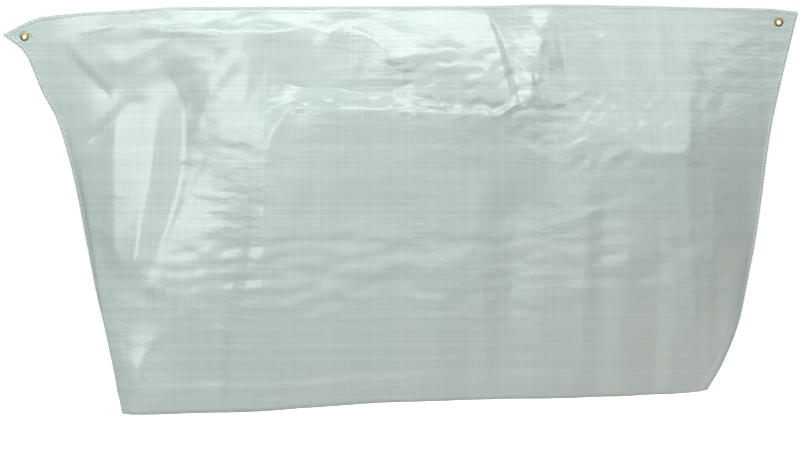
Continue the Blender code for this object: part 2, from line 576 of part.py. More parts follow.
def add_eyelet(side_name, material):
    """A pressed brass eyelet: a domed flange on each face, joined by the barrel through the strip."""
    face = GAP / 2 + SHEET + GAP
    middle = (EYELET_OUTER + EYELET_BORE) / 2
    half_width = (EYELET_OUTER - EYELET_BORE) / 2
    dome = [(middle - half_width * math.cos(a), face + EYELET_CROWN * math.sin(a))
            for a in np.linspace(0, math.pi, DOME_STEPS + 1)]
    profile = [(r, -y) for r, y in dome]
    profile += [(EYELET_BARREL, -face), (EYELET_BARREL, face)]
    profile += [(r, y) for r, y in dome[::-1]]
    return ring(f"eyelet_{side_name}", profile, EYELET_CENTRES[side_name], material)


# ---------------------------------------------------------------- the cover
for old in list(bpy.data.objects):
    bpy.data.objects.remove(old, do_unlink=True)

cloth = add_material("coated_cloth", CLOTH_COLOUR, 0.38, 0.0)
brass = add_material("brass", BRASS_COLOUR, 0.30, 1.0)

front, corners = add_panel("panel_front", FRONT, FRONT_LINES, FRONT_FOLDS, FRONT_COLUMNS, cloth)
back, _ = add_panel("panel_back", BACK, BACK_LINES, BACK_FOLDS, BACK_COLUMNS, cloth)
for which in ("left", "right"):
    add_corner(which, corners[which], cloth)
    add_eyelet(which, brass)
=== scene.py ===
"""Fitted cover: two sheets of coated woven polyethylene, sewn together along the top and both sides and
hemmed at the bottom, with a brass eyelet in each top corner. Metres, +X along the cover, +Y to its far
side, +Z up. The origin is under the middle of the top seam.
"""
import math
from collections import namedtuple

import bpy
import numpy as np
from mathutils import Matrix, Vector
from mathutils.bvhtree import BVHTree
from mathutils.geometry import delaunay_2d_cdt


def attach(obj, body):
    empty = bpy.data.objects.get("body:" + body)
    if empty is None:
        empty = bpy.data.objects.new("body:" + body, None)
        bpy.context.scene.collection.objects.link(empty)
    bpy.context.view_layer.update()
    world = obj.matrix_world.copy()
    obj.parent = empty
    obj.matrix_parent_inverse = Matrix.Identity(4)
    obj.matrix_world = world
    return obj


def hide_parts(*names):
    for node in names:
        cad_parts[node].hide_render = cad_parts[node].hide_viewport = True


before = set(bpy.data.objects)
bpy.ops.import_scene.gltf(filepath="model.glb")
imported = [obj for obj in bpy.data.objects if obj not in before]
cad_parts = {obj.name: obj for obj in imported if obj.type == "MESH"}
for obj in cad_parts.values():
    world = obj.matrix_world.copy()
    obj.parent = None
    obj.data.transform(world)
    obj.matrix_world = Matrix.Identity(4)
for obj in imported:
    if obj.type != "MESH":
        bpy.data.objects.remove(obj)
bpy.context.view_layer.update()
scene = bpy.context.scene

# ---------------------------------------------------------------- studio
# A level camera square to the front sheet, and a pale floor in a white room. One large soft light comes from
# the upper left, and weaker ones fill from above, from the right, from the front and from behind.
CAMERA_PLACE = (0.0, -3.2, -0.583)
LENS, SENSOR = 54.4, 36.0  # in millimetres
ROOM_COLOUR, ROOM_STRENGTH = (0.96, 0.97, 0.96, 1.0), 0.255
FLOOR_HEIGHT = -1.170
FLOOR_RADIUS = 9.0
FLOOR_SIDES = 96
FLOOR_GLOW = 0.82          # the floor's own light, which only the camera sees
Lamp = namedtuple("Lamp", "name place aim width height watts colour")
LAMPS = [
    Lamp("key_light", (-1.80, -2.40, 1.30), (0.0, 0.0, -0.45), 2.0, 1.6, 39.0, (0.93, 0.99, 1.01)),
    Lamp("top_light", (0.00, -0.70, 1.50), (0.0, 0.0, -0.45), 2.4, 0.6, 22.0, (0.95, 1.00, 1.00)),
    Lamp("right_light", (2.00, -2.20, 1.40), (0.2, 0.0, -0.30), 2.0, 1.5, 16.0, (1.00, 0.98, 0.95)),
    Lamp("front_light", (0.00, -4.20, 0.90), (0.0, 0.0, -0.30), 3.0, 1.6, 12.0, (1.00, 0.97, 0.94)),
    Lamp("back_light", (1.00, 2.60, 1.40), (0.0, 0.0, -0.45), 2.2, 1.4, 58.0, (1.00, 1.00, 1.00)),
]

camera = bpy.data.objects.new("camera", bpy.data.cameras.new("camera"))
camera.location = CAMERA_PLACE
camera.rotation_euler = (math.radians(90), 0.0, 0.0)
camera.data.sensor_width = SENSOR
camera.data.lens = LENS
scene.collection.objects.link(camera)
scene.camera = camera

for lamp in LAMPS:
    light = bpy.data.lights.new(lamp.name, "AREA")
    light.shape = "RECTANGLE"
    light.size, light.size_y = lamp.width, lamp.height
    light.energy, light.color = lamp.watts, lamp.colour
    holder = bpy.data.objects.new(lamp.name, light)
    holder.location = lamp.place
    holder.rotation_euler = (Vector(lamp.aim) - Vector(lamp.place)).to_track_quat("-Z", "Y").to_euler()
    scene.collection.objects.link(holder)

scene.view_settings.view_transform = "Standard"
scene.view_settings.look = "None"
world = bpy.data.worlds.new("studio_white")
world.use_nodes = True
scene.world = world
nodes, links = world.node_tree.nodes, world.node_tree.links
seen_white, room_white = nodes["Background"], nodes.new("ShaderNodeBackground")
seen_white.inputs["Color"].default_value = (1.0, 1.0, 1.0, 1.0)
seen_white.inputs["Strength"].default_value = 1.0
room_white.inputs["Color"].default_value = ROOM_COLOUR
room_white.inputs["Strength"].default_value = ROOM_STRENGTH
ray_kind, mixed = nodes.new("ShaderNodeLightPath"), nodes.new("ShaderNodeMixShader")
links.new(ray_kind.outputs["Is Camera Ray"], mixed.inputs["Fac"])
links.new(room_white.outputs["Background"], mixed.inputs[1])
links.new(seen_white.outputs["Background"], mixed.inputs[2])
links.new(mixed.outputs["Shader"], nodes["World Output"].inputs["Surface"])


def new_material(name, roughness, metallic=0.0):
    """A material with its Principled shader, the node tree's nodes and its links."""
    material = bpy.data.materials.new(name)
    material.use_nodes = True
    shader = material.node_tree.nodes["Principled BSDF"]
    shader.inputs["Roughness"].default_value = roughness
    shader.inputs["Metallic"].default_value = metallic
    return material, shader, material.node_tree.nodes, material.node_tree.links


def new_piece(name, vertices, faces, material):
    """A mesh object of one material, its points given in the frame's metres."""
    mesh = bpy.data.meshes.new(name)
    mesh.from_pydata(np.asarray(vertices).tolist(), [], faces)
    mesh.materials.append(material)
    piece = bpy.data.objects.new(name, mesh)
    scene.collection.objects.link(piece)
    return piece


paper, paper_shader, nodes, links = new_material("studio_floor", 0.9)
paper_shader.inputs["Base Color"].default_value = (0.92, 0.93, 0.93, 1.0)
paper_shader.inputs["Emission Color"].default_value = (1.0, 1.0, 1.0, 1.0)
seen = nodes.new("ShaderNodeLightPath")
share = nodes.new("ShaderNodeMath")
share.operation = "MULTIPLY"
share.inputs[1].default_value = FLOOR_GLOW
links.new(seen.outputs["Is Camera Ray"], share.inputs[0])
links.new(share.outputs[0], paper_shader.inputs["Emission Strength"])
turn = np.linspace(0, 2 * math.pi, FLOOR_SIDES, endpoint=False)
floor_rim = [(FLOOR_RADIUS * math.cos(t), FLOOR_RADIUS * math.sin(t), FLOOR_HEIGHT) for t in turn]
floor = new_piece("studio_floor", floor_rim, [tuple(range(FLOOR_SIDES))], paper)

# ---------------------------------------------------------------- front sheet
# One cut of coated woven polyethylene tape, 2.10 x 1.10 m. It is sewn to the back sheet along its top and
# side edges, and its bottom edge is turned up 70 mm inside and stitched. It hangs in stiff, sharp folds.
DROP_HEIGHT = 1.04         # from the top seam to the hem, as it hangs
SHEET = 0.0010             # thickness of the cloth with its coating
SOLID_SHEET = 0.0015       # thickness of the sheet's CAD solid, which has the same middle surface
GAP = 0.0003               # between the two sheets where they are sewn together
FLANGE = 0.006             # what lies outside the seam, which shows narrower than in the CAD solids
FLANGE_CELLS = 2
HEM_STEP = 0.004           # over which the cloth steps down from the hem's two layers to one
SEAM_ROLL = 0.002          # over which the cloth leaves a side seam
SEAM_BLEND = 0.06          # width beside a side seam over which a band comes to its end on the seam
SETTLE_STEPS = 12          # rounds that bring the end of a band to its guide
LEAST_BAND = 0.012         # least share of the drop in a band
DENSE = 1400               # points that a row or an edge is measured with
FRONT, BACK = -1, 1

Point = namedtuple("Point", "x z")

# Outline of the hanging cover, at the outer edge of the flange and of the hem.
TOP_EDGE = [
    Point(-1.0485, -0.0597), Point(-0.9493, -0.0180), Point(-0.8300, -0.0060), Point(-0.7119, 0.0010),
    Point(-0.5822, 0.0090), Point(-0.3440, 0.0100), Point(-0.0500, 0.0110), Point(0.2117, 0.0120),
    Point(0.3890, 0.0160), Point(0.6431, 0.0120), Point(0.8059, 0.0080), Point(0.9678, 0.0050),
    Point(1.0515, -0.0026),
]
LEFT_EDGE = [
    Point(-1.0485, -0.0597), Point(-0.9956, -0.1079), Point(-0.9448, -0.2182), Point(-0.9083, -0.2865),
    Point(-0.8760, -0.3900), Point(-0.8500, -0.5000), Point(-0.8270, -0.6100), Point(-0.7950, -0.7500),
    Point(-0.7540, -0.9000), Point(-0.7170, -1.0360),
]
RIGHT_EDGE = [
    Point(1.0515, -0.0026), Point(1.0030, -0.2098), Point(0.9787, -0.3286), Point(0.9543, -0.5120),
    Point(0.9408, -0.6041), Point(0.9191, -0.7174), Point(0.9000, -0.8119), Point(0.8570, -0.9300),
    Point(0.8160, -1.0040),
]
HEM_EDGE = [
    Point(-0.7170, -1.0360), Point(-0.5600, -1.0380), Point(-0.3730, -1.0330), Point(-0.0200, -1.0140),
    Point(0.2520, -1.0100), Point(0.4970, -1.0080), Point(0.8160, -1.0040),
]

# The mesh of a sheet is laid in bands, from the seam down to the hem. A band ends at these shares of the
# left and right side seams, and in between it follows a guide, a line of the face whose x and z are given in
# millimetres, so that rows of cells run along the bends.
Band = namedtuple("Band", "what left right guide")
FRONT_BANDS = [
    Band("shelf under the seam", 0.077, 0.077, [
        (-930, -130), (-850, -95), (-794, -80), (-746, -51), (-703, -34), (-667, -34), (-631, -49),
        (-598, -59), (-555, -54), (-517, -66), (-464, -68), (-404, -66), (-360, -66), (-300, -63),
        (-262, -48), (-236, -36), (-209, -60), (-191, -74), (-165, -57), (-136, -52), (-107, -64),
        (-70, -90), (-39, -113), (-26, -138), (3, -146), (39, -141), (67, -124), (96, -115), (135, -109),
        (200, -115), (290, -118), (364, -105), (440, -100), (640, -100), (780, -96), (898, -90),
        (966, -80)]),
    Band("upright band", 0.150, 0.170, [
        (-960, -200), (-880, -190), (-790, -220), (-724, -252), (-629, -246), (-600, -200), (-570, -140),
        (-522, -131), (-456, -129), (-416, -122), (-400, -146), (-358, -162), (-311, -186), (-262, -209),
        (-228, -215), (-181, -215), (-103, -226), (-39, -230), (38, -239), (77, -242), (97, -255),
        (154, -261), (174, -274), (197, -263), (240, -282), (266, -261), (300, -256), (340, -225),
        (390, -205), (434, -200), (523, -198), (628, -196), (754, -196), (860, -190), (960, -195)]),
    Band("slope", 0.270, 0.380, [
        (-930, -300), (-850, -340), (-738, -360), (-600, -360), (-450, -350), (-351, -325), (-303, -297),
        (-281, -276), (-239, -273), (-140, -276), (0, -282), (178, -287), (242, -290), (290, -294),
        (330, -330), (361, -390), (414, -378), (450, -368), (486, -353), (527, -353), (568, -345),
        (598, -358), (625, -381), (676, -387), (730, -384), (800, -390), (886, -400), (976, -420)]),
    Band("upper side", 0.600, 0.600, [
        (-840, -620), (-650, -640), (-420, -640), (-230, -620), (300, -610), (740, -620), (960, -620)]),
    Band("lower side", 0.820, 0.820, [
        (-780, -860), (-600, -870), (-480, -860), (-280, -840), (0, -820), (860, -820)]),
    Band("side above the hem", 0.932, 0.931, [
        (-735, -968), (-560, -966), (-292, -962), (-38, -944), (254, -940), (511, -937), (774, -934)]),
    Band("hem", 1.000, 1.000, None),
]
HEM_BAND = 6               # the hem's place among the bands, counted from 0
FRONT_ROWS = (14, 22, 30, 44, 20, 11, 6)              # rows of cells in each band
FRONT_COLUMNS = 318
FINE_AT, FINE_REACH, FINE_GAIN = 0.30, 0.16, 2.0      # the columns stand closer round the tuck

# The creases of a sheet. The cloth between them is like a skin stretched over them. Each point of a crease
# has x, z and how far the cloth stands off the seam plane there, all in millimetres, and `hold` is how firmly
# the crease holds it, per metre: a firm crease is sharp, a loose one only bulges the cloth.
Crease = namedtuple("Crease", "what hold points")
FIRM, LOOSE = 2500, 50
FRONT_CREASES = [
    Crease("lower edge of the shelf, left", FIRM,
        [(-872, -73, 4), (-834, -58, 9), (-791, -51, 14), (-743, -40, 15), (-701, -35, 13),
         (-666, -38, 16), (-631, -50, 23), (-598, -59, 30), (-555, -57, 36), (-517, -66, 42),
         (-464, -72, 46), (-404, -66, 46), (-360, -66, 46), (-300, -63, 42), (-262, -48, 32),
         (-234, -22, 15)]),
    Crease("lower edge of the shelf, middle", FIRM,
        [(-234, -22, 15), (-209, -60, 38), (-190, -74, 46), (-165, -58, 41), (-136, -53, 41),
         (-107, -64, 48), (-70, -90, 62), (-39, -113, 75), (-28, -137, 86), (3, -146, 91),
         (39, -141, 90), (67, -124, 80), (96, -115, 74), (135, -109, 70), (155, -131, 78),
         (167, -174, 92), (174, -211, 100)]),
    Crease("foot of the upright band, left", FIRM,
        [(-653, -133, 18), (-590, -129, 30), (-522, -129, 44), (-456, -127, 50), (-416, -120, 53)]),
    Crease("foot of the upright band, middle", FIRM,
        [(-400, -146, 58), (-358, -162, 60), (-312, -186, 61), (-262, -209, 61), (-228, -214, 61),
         (-182, -214, 62), (-143, -217, 63), (-104, -226, 68), (-39, -229, 79), (0, -233, 89),
         (38, -239, 97), (77, -242, 101), (97, -255, 104), (128, -258, 105), (154, -261, 106),
         (174, -274, 110), (197, -263, 108), (222, -271, 110), (240, -282, 112), (266, -261, 109),
         (279, -243, 107)]),
    Crease("dip above the bend", FIRM,
        [(103, -149, 92), (110, -195, 96), (126, -224, 99), (159, -229, 102), (205, -227, 102),
         (241, -229, 103), (269, -227, 104)]),
    Crease("edge where the slope turns upright", FIRM,
        [(-281, -271, 113), (-240, -269, 116), (-199, -272, 118), (-140, -275, 119), (-76, -277, 121),
         (0, -280, 122), (76, -283, 122), (178, -285, 122), (242, -288, 121), (278, -280, 118),
         (296, -274, 115)]),
    Crease("crest left of the middle", FIRM,
        [(-281, -271, 113), (-304, -295, 116), (-323, -326, 121), (-336, -364, 126), (-343, -403, 129),
         (-347, -454, 134), (-349, -505, 140), (-345, -606, 154), (-333, -731, 170), (-320, -855, 181),
         (-309, -979, 188)]),
    Crease("tuck, lip", FIRM,
        [(214, -4, 4), (234, -33, 16), (251, -84, 40), (262, -140, 66), (272, -189, 86),
         (279, -227, 100), (286, -259, 112)]),
    Crease("tuck, foot", FIRM,
        [(225, -4, 2), (252, -36, 8), (272, -85, 28), (285, -138, 51), (298, -187, 72), (310, -225, 89),
         (313, -253, 103)]),
    Crease("right crest", FIRM,
        [(383, -1, 4), (375, -50, 26), (368, -98, 48), (353, -140, 66), (338, -181, 84), (339, -221, 97),
         (333, -248, 105), (309, -264, 112), (296, -274, 116)]),
    Crease("foot right of the right crest", FIRM,
        [(415, -4, 3), (422, -53, 12), (428, -108, 26), (436, -162, 41), (442, -211, 54),
         (438, -254, 67), (402, -287, 84), (349, -304, 100)]),
    Crease("upright fold, right", FIRM,
        [(531, -10, 5), (533, -60, 24), (535, -121, 42), (541, -180, 54), (545, -227, 62)]),
    Crease("foot right of that fold", FIRM,
        [(563, -9, 2), (569, -59, 15), (574, -119, 31), (577, -179, 46), (577, -227, 59)]),
    Crease("upright fold under the right corner", FIRM,
        [(751, -9, 3), (755, -59, 18), (759, -119, 34), (759, -168, 46)]),
    Crease("right shelf, lower edge", FIRM,
        [(441, -248, 63), (475, -238, 61), (519, -240, 60), (571, -238, 62), (623, -235, 63),
         (680, -238, 61), (754, -232, 56)]),
    Crease("edge where the right slope turns upright", FIRM,
        [(361, -396, 108), (389, -386, 106), (414, -378, 108), (450, -368, 110), (486, -353, 109),
         (527, -353, 110), (568, -345, 109), (598, -358, 111), (625, -381, 115), (676, -387, 116),
         (730, -384, 114)]),
    Crease("shiny bend", FIRM,
        [(398, -352, 96), (427, -328, 90), (451, -307, 82), (473, -280, 72), (485, -254, 64)]),
    Crease("upright fold under the tuck", FIRM,
        [(296, -274, 115), (298, -325, 116), (303, -402, 117), (308, -504, 119), (321, -606, 123),
         (336, -708, 125), (348, -809, 128), (358, -911, 127), (374, -1008, 121)]),
    Crease("crest down from the right corner", FIRM,
        [(908, -89, 8), (864, -111, 14), (828, -134, 22), (793, -161, 34), (762, -189, 46),
         (754, -232, 58), (749, -296, 78), (744, -350, 98), (731, -384, 108), (737, -504, 108),
         (748, -657, 101), (762, -812, 88)]),
    Crease("valley right of that crest", FIRM,
        [(930, -131, 7), (882, -185, 16), (844, -240, 31), (822, -307, 55), (812, -399, 74),
         (810, -503, 82), (807, -606, 81), (801, -736, 75)]),
    Crease("fold beside the right seam", FIRM,
        [(917, -225, 14), (886, -318, 32), (876, -424, 40), (872, -554, 44), (855, -685, 48),
         (827, -814, 56)]),
    Crease("valley from the left corner", FIRM,
        [(-926, -72, 1), (-899, -94, 3), (-859, -136, 4), (-819, -179, 6), (-778, -214, 10),
         (-764, -230, 13)]),
    Crease("ridge beside that valley", FIRM,
        [(-877, -84, 6), (-834, -132, 11), (-793, -172, 15), (-758, -201, 19)]),
    Crease("bump left of the panel", FIRM,
        [(-764, -230, 16), (-752, -220, 20), (-749, -241, 24), (-756, -265, 26), (-775, -286, 25),
         (-802, -307, 21), (-833, -322, 14)]),
    Crease("crescent round the bump", FIRM,
        [(-740, -222, 18), (-733, -249, 22), (-741, -281, 25), (-767, -307, 23), (-797, -333, 19),
         (-822, -349, 16)]),
    Crease("panel, upper edge", FIRM,
        [(-726, -254, 18), (-705, -246, 20), (-669, -250, 26), (-637, -245, 32)]),
    Crease("panel, left edge", FIRM,
        [(-726, -254, 18), (-740, -292, 27), (-748, -324, 37), (-747, -398, 54), (-741, -503, 78),
         (-732, -619, 107), (-711, -654, 120), (-690, -677, 131), (-668, -694, 141)]),
    Crease("panel, crest", FIRM,
        [(-637, -245, 31), (-637, -280, 43), (-639, -334, 58), (-644, -399, 74), (-650, -478, 93),
         (-661, -555, 114), (-665, -619, 131), (-671, -694, 149)]),
    Crease("valley right of the panel", LOOSE,
        [(-627, -148, 16), (-601, -185, 15), (-582, -217, 17), (-568, -265, 21), (-560, -332, 34),
         (-563, -398, 48), (-571, -464, 64), (-582, -534, 85), (-602, -601, 104), (-621, -662, 125),
         (-642, -720, 142), (-656, -757, 150)]),
    Crease("upper diagonal ridge", FIRM,
        [(-411, -133, 54), (-445, -154, 56), (-471, -185, 57), (-491, -222, 57), (-510, -263, 56),
         (-528, -305, 56), (-544, -341, 56)]),
    Crease("stripe under it", LOOSE,
        [(-401, -154, 55), (-427, -180, 55), (-452, -216, 56), (-478, -253, 56), (-502, -294, 57),
         (-522, -341, 59)]),
    Crease("long diagonal ridge", FIRM,
        [(-407, -191, 64), (-430, -228, 68), (-459, -262, 68), (-485, -290, 67), (-503, -326, 66),
         (-518, -386, 70), (-536, -464, 84), (-556, -529, 101), (-581, -601, 119), (-605, -677, 138),
         (-628, -744, 153)]),
    Crease("left shoulder", LOOSE,
        [(-554, -192, 28), (-545, -213, 31), (-539, -251, 36), (-538, -283, 42), (-540, -309, 48)]),
    Crease("upper side, left", LOOSE,
        [(-770, -760, 96), (-712, -758, 126), (-629, -782, 158), (-527, -781, 164), (-426, -781, 171),
         (-345, -780, 179)]),
    Crease("upper side", LOOSE,
        [(-227, -681, 156), (-126, -676, 154), (0, -676, 149), (127, -672, 141), (254, -667, 131),
         (407, -662, 121), (510, -657, 116), (613, -652, 111)]),
    Crease("side under the slopes", LOOSE,
        [(-254, -377, 126), (-127, -382, 126), (0, -387, 126), (127, -390, 126), (242, -392, 124)]),
    Crease("lower side", LOOSE,
        [(-749, -862, 100), (-707, -873, 124), (-629, -882, 160), (-526, -881, 170), (-400, -868, 178),
         (-325, -868, 182), (-225, -869, 172), (0, -857, 156), (253, -849, 136), (511, -846, 111),
         (667, -847, 97)]),
    Crease("pressed corner, left", FIRM,
        [(-926, -17, 0), (-934, -77, 0), (-937, -130, 0), (-926, -197, 0), (-908, -257, 0),
         (-892, -316, 0)]),
    Crease("pressed corner, right", FIRM,
        [(926, -6, 0), (945, -77, 0), (963, -157, 0), (977, -236, 0), (974, -329, 0)]),
    Crease("shadow line at the foot", FIRM,
        [(-593, -732, 147), (-618, -770, 150), (-630, -807, 152), (-669, -871, 148), (-690, -909, 143),
         (-705, -956, 135), (-711, -1000, 128)]),
    Crease("ridge above it", FIRM,
        [(-574, -757, 156), (-593, -802, 160), (-622, -862, 166), (-647, -919, 169), (-661, -981, 172)]),
    Crease("hem", LOOSE,
        [(-710, -1008, 122), (-674, -1013, 160), (-624, -1013, 180), (-523, -1009, 188),
         (-398, -1003, 192), (-309, -998, 192), (-249, -999, 186), (0, -993, 160), (254, -992, 132),
         (513, -991, 99), (671, -993, 80), (753, -990, 62)]),
    Crease("left side, front edge", FIRM,
        [(-878, -300, 4), (-848, -390, 13), (-824, -500, 32), (-801, -610, 54), (-769, -750, 86),
         (-728, -900, 118), (-691, -1036, 142), (-684, -1062, 146)]),
    Crease("left side, rounding", FIRM,
        [(-770, -610, 68), (-738, -750, 102), (-697, -900, 138), (-660, -1036, 166), (-653, -1062, 168)]),
    Crease("right side, front edge", FIRM,
        [(950, -400, 3), (928, -512, 8), (915, -604, 15), (893, -717, 26), (874, -812, 36),
         (819, -930, 46), (770, -1004, 46), (745, -1050, 46)]),
]

# How far the left and right seams themselves swing to the far side, or to the near side below 0, by level.
Swing = namedtuple("Swing", "z left right")
SWINGS = [
    Swing(0.00, 0.000, 0.000), Swing(-0.40, 0.000, 0.000), Swing(-0.60, -0.010, 0.000),
    Swing(-0.80, -0.035, 0.000), Swing(-1.04, -0.060, 0.010),
]
SWING_REACH = 0.22         # the swing has died out this far in from a seam


def smooth_values(at, places, values):
    """Monotone cubic through values at rising places, read at each of the points `at`."""
    places, values = np.asarray(places, float), np.asarray(values, float)
    step = np.diff(places)
    slope = np.diff(values) / step
    before, after = slope[:-1], slope[1:]
    same_way = before * after > 0
    inner = np.where(same_way, 2 * before * after / np.where(same_way, before + after, 1), 0)
    tangent = np.concatenate([slope[:1], inner, slope[-1:]])
    at = np.clip(at, places[0], places[-1])
    cell = np.clip(np.searchsorted(places, at, side="right") - 1, 0, len(places) - 2)
    h = step[cell]
    t = (at - places[cell]) / h
    return ((2 * t**3 - 3 * t**2 + 1) * values[cell] + (t**3 - 2 * t**2 + t) * tangent[cell] * h
            + (3 * t**2 - 2 * t**3) * values[cell + 1] + (t**3 - t**2) * tangent[cell + 1] * h)


def ease(t):
    """0 below 0, 1 above 1, and a soft step between."""
    t = np.clip(t, 0, 1)
    return t * t * (3 - 2 * t)


def lengths_along(points):
    """Length of a line of points, from its start to each point."""
    return np.concatenate([[0], np.cumsum(np.linalg.norm(np.diff(points, axis=0), axis=1))])


class Curve:
    """A smooth curve through points of x and z, read at fractions of its length."""

    def __init__(self, points):
        points = np.array([(p[0], p[1]) for p in points])
        chord = lengths_along(points)
        fine = np.linspace(0, chord[-1], DENSE)
        self.x, self.z = (smooth_values(fine, chord, points[:, k]) for k in (0, 1))
        length = lengths_along(np.stack([self.x, self.z], axis=1))
        self.share = length / length[-1]

    def at(self, fractions):
        return np.stack([np.interp(fractions, self.share, c) for c in (self.x, self.z)], axis=-1)


def seam_of(edge, inward_x, inward_z):
    """The edge moved in by the flange."""
    return [(p.x + inward_x * FLANGE, p.z + inward_z * FLANGE) for p in edge]


LEFT_CORNER = (TOP_EDGE[0].x + FLANGE, TOP_EDGE[0].z - FLANGE)
RIGHT_CORNER = (TOP_EDGE[-1].x - FLANGE, TOP_EDGE[-1].z - FLANGE)
TOP = Curve([LEFT_CORNER] + seam_of(TOP_EDGE[1:-1], 0, -1) + [RIGHT_CORNER])
LEFT = Curve([LEFT_CORNER] + seam_of(LEFT_EDGE[1:], 1, 0))
RIGHT = Curve([RIGHT_CORNER] + seam_of(RIGHT_EDGE[1:], -1, 0))
HEM = Curve([(LEFT_EDGE[-1].x + FLANGE, LEFT_EDGE[-1].z)] + HEM_EDGE[1:-1]
            + [(RIGHT_EDGE[-1].x - FLANGE, RIGHT_EDGE[-1].z)])


def face_points(across, down):
    """x and z of the sheet seen square on: a patch stretched between its three seams and its hem."""
    u, v = across[:, None], down[:, None]
    top, hem, left, right = TOP.at(across), HEM.at(across), LEFT.at(down), RIGHT.at(down)
    corners = (1 - u) * ((1 - v) * top[0] + v * hem[0]) + u * ((1 - v) * top[-1] + v * hem[-1])
    return (1 - v) * top + v * hem + (1 - u) * left + u * right - corners


def band_ends(bands, across):
    """For each band, the share of the drop at which it ends in each column."""
    drops = []
    for band in bands:
        down = band.left + (band.right - band.left) * across
        if band.guide:
            guide_x, guide_z = np.array(band.guide).T / 1000
            for _ in range(SETTLE_STEPS):
                face = face_points(across, down)
                too_high = face[:, 1] - smooth_values(face[:, 0], guide_x, guide_z)
                down = np.clip(down + too_high / DROP_HEIGHT, 0, 1)
            from_left, from_right = face[:, 0] - face[0, 0], face[-1, 0] - face[:, 0]
            for sewn, from_seam in ((band.left, from_left), (band.right, from_right)):
                down = sewn + (down - sewn) * ease(from_seam / SEAM_BLEND)
        if drops:
            down = np.maximum(down, drops[-1] + LEAST_BAND)
        drops.append(down)
    drops[-1] = np.ones_like(across)
    return drops


# The stretched skin is worked out on a grid of x and z, first on a coarse one and then on finer ones.
SKIN_LEFT, SKIN_TOP, SKIN_WIDTH, SKIN_DROP = -1.065, 0.015, 2.130, 1.080
SKIN_CELL = 0.003          # of the finest grid
SKIN_LEVELS = 5            # coarser grids, each with cells twice as wide as the next one's
SKIN_ROUNDS = 200          # rounds of evening out on each coarse grid, and half as many on the finest
CREASE_TAPER = 0.03        # a crease lets go over this length at its ends
LEAST_HOLD = 0.001         # share of its hold that is left at its very end
SEWN = 1e6                 # hold of a seam and of the grid's border


def pulled(lines, cell):
    """How firmly creases hold each node of the grid, and that times the height that they hold it at."""
    shape = round(SKIN_DROP / cell) + 1, round(SKIN_WIDTH / cell) + 1
    hold, pull = np.zeros(shape), np.zeros(shape)
    for firmness, taper, points in lines:
        points = np.array(points)
        places = lengths_along(points[:, :2])
        count = int(3 * places[-1] / cell) + 3
        s = np.linspace(0, places[-1], count)
        x, z, height = (np.interp(s, places, points[:, k]) for k in range(3))
        weight = np.full(count, firmness * places[-1] / (count - 1))
        if taper:
            weight *= np.clip(np.minimum(s, places[-1] - s) / taper, LEAST_HOLD, 1) ** 2
        nodes = np.rint((SKIN_TOP - z) / cell).astype(int), np.rint((x - SKIN_LEFT) / cell).astype(int)
        np.add.at(hold, nodes, weight)
        np.add.at(pull, nodes, weight * height)
    for edge in ((0, slice(None)), (slice(None), 0), (slice(None), -1)):
        hold[edge], pull[edge] = SEWN, 0
    return hold, pull


def read_grid(grid, row, column):
    """A grid read between its nodes."""
    j = np.clip(row.astype(int), 0, grid.shape[0] - 2)
    i = np.clip(column.astype(int), 0, grid.shape[1] - 2)
    a, b = np.clip(row - j, 0, 1), np.clip(column - i, 0, 1)
    return ((1 - a) * ((1 - b) * grid[j, i] + b * grid[j, i + 1])
            + a * ((1 - b) * grid[j + 1, i] + b * grid[j + 1, i + 1]))


def stretched_skin(creases):
    """Heights over the grid of a skin that is sewn down at the seams and stretched over the creases."""
    lines = [(crease.hold, CREASE_TAPER, np.array(crease.points) / 1000) for crease in creases]
    lines += [(SEWN, 0, [(x, z, 0) for x, z in zip(seam.x, seam.z)]) for seam in (TOP, LEFT, RIGHT)]
    skin = np.zeros((2, 2))
    for level in range(SKIN_LEVELS, -1, -1):
        hold, pull = pulled(lines, SKIN_CELL * 2**level)
        rows, columns = (np.linspace(0, before - 1, now) for before, now in zip(skin.shape, hold.shape))
        skin = read_grid(skin, *np.meshgrid(rows, columns, indexing="ij"))
        for _ in range(SKIN_ROUNDS if level else SKIN_ROUNDS // 2):
            near = np.pad(skin, 1, mode="edge")
            skin = (near[:-2, 1:-1] + near[2:, 1:-1] + near[1:-1, :-2] + near[1:-1, 2:] + pull) / (4 + hold)
    return softened(skin)


def softened(grid):
    """Each value of a grid averaged with its neighbours."""
    grid = np.pad(grid, 1, mode="edge")
    grid = (grid[:-2] + 2 * grid[1:-1] + grid[2:]) / 4
    return (grid[:, :-2] + 2 * grid[:, 1:-1] + grid[:, 2:]) / 4


def swing(x, z):
    """How far the seam plane itself lies to the far side."""
    levels = SWINGS[::-1]
    total = np.zeros_like(x)
    for side, from_seam in (("left", x - x[0]), ("right", x[-1] - x)):
        swung = smooth_values(z, [s.z for s in levels], [getattr(s, side) for s in levels])
        total += swung * (1 - ease(from_seam / SWING_REACH))
    return total


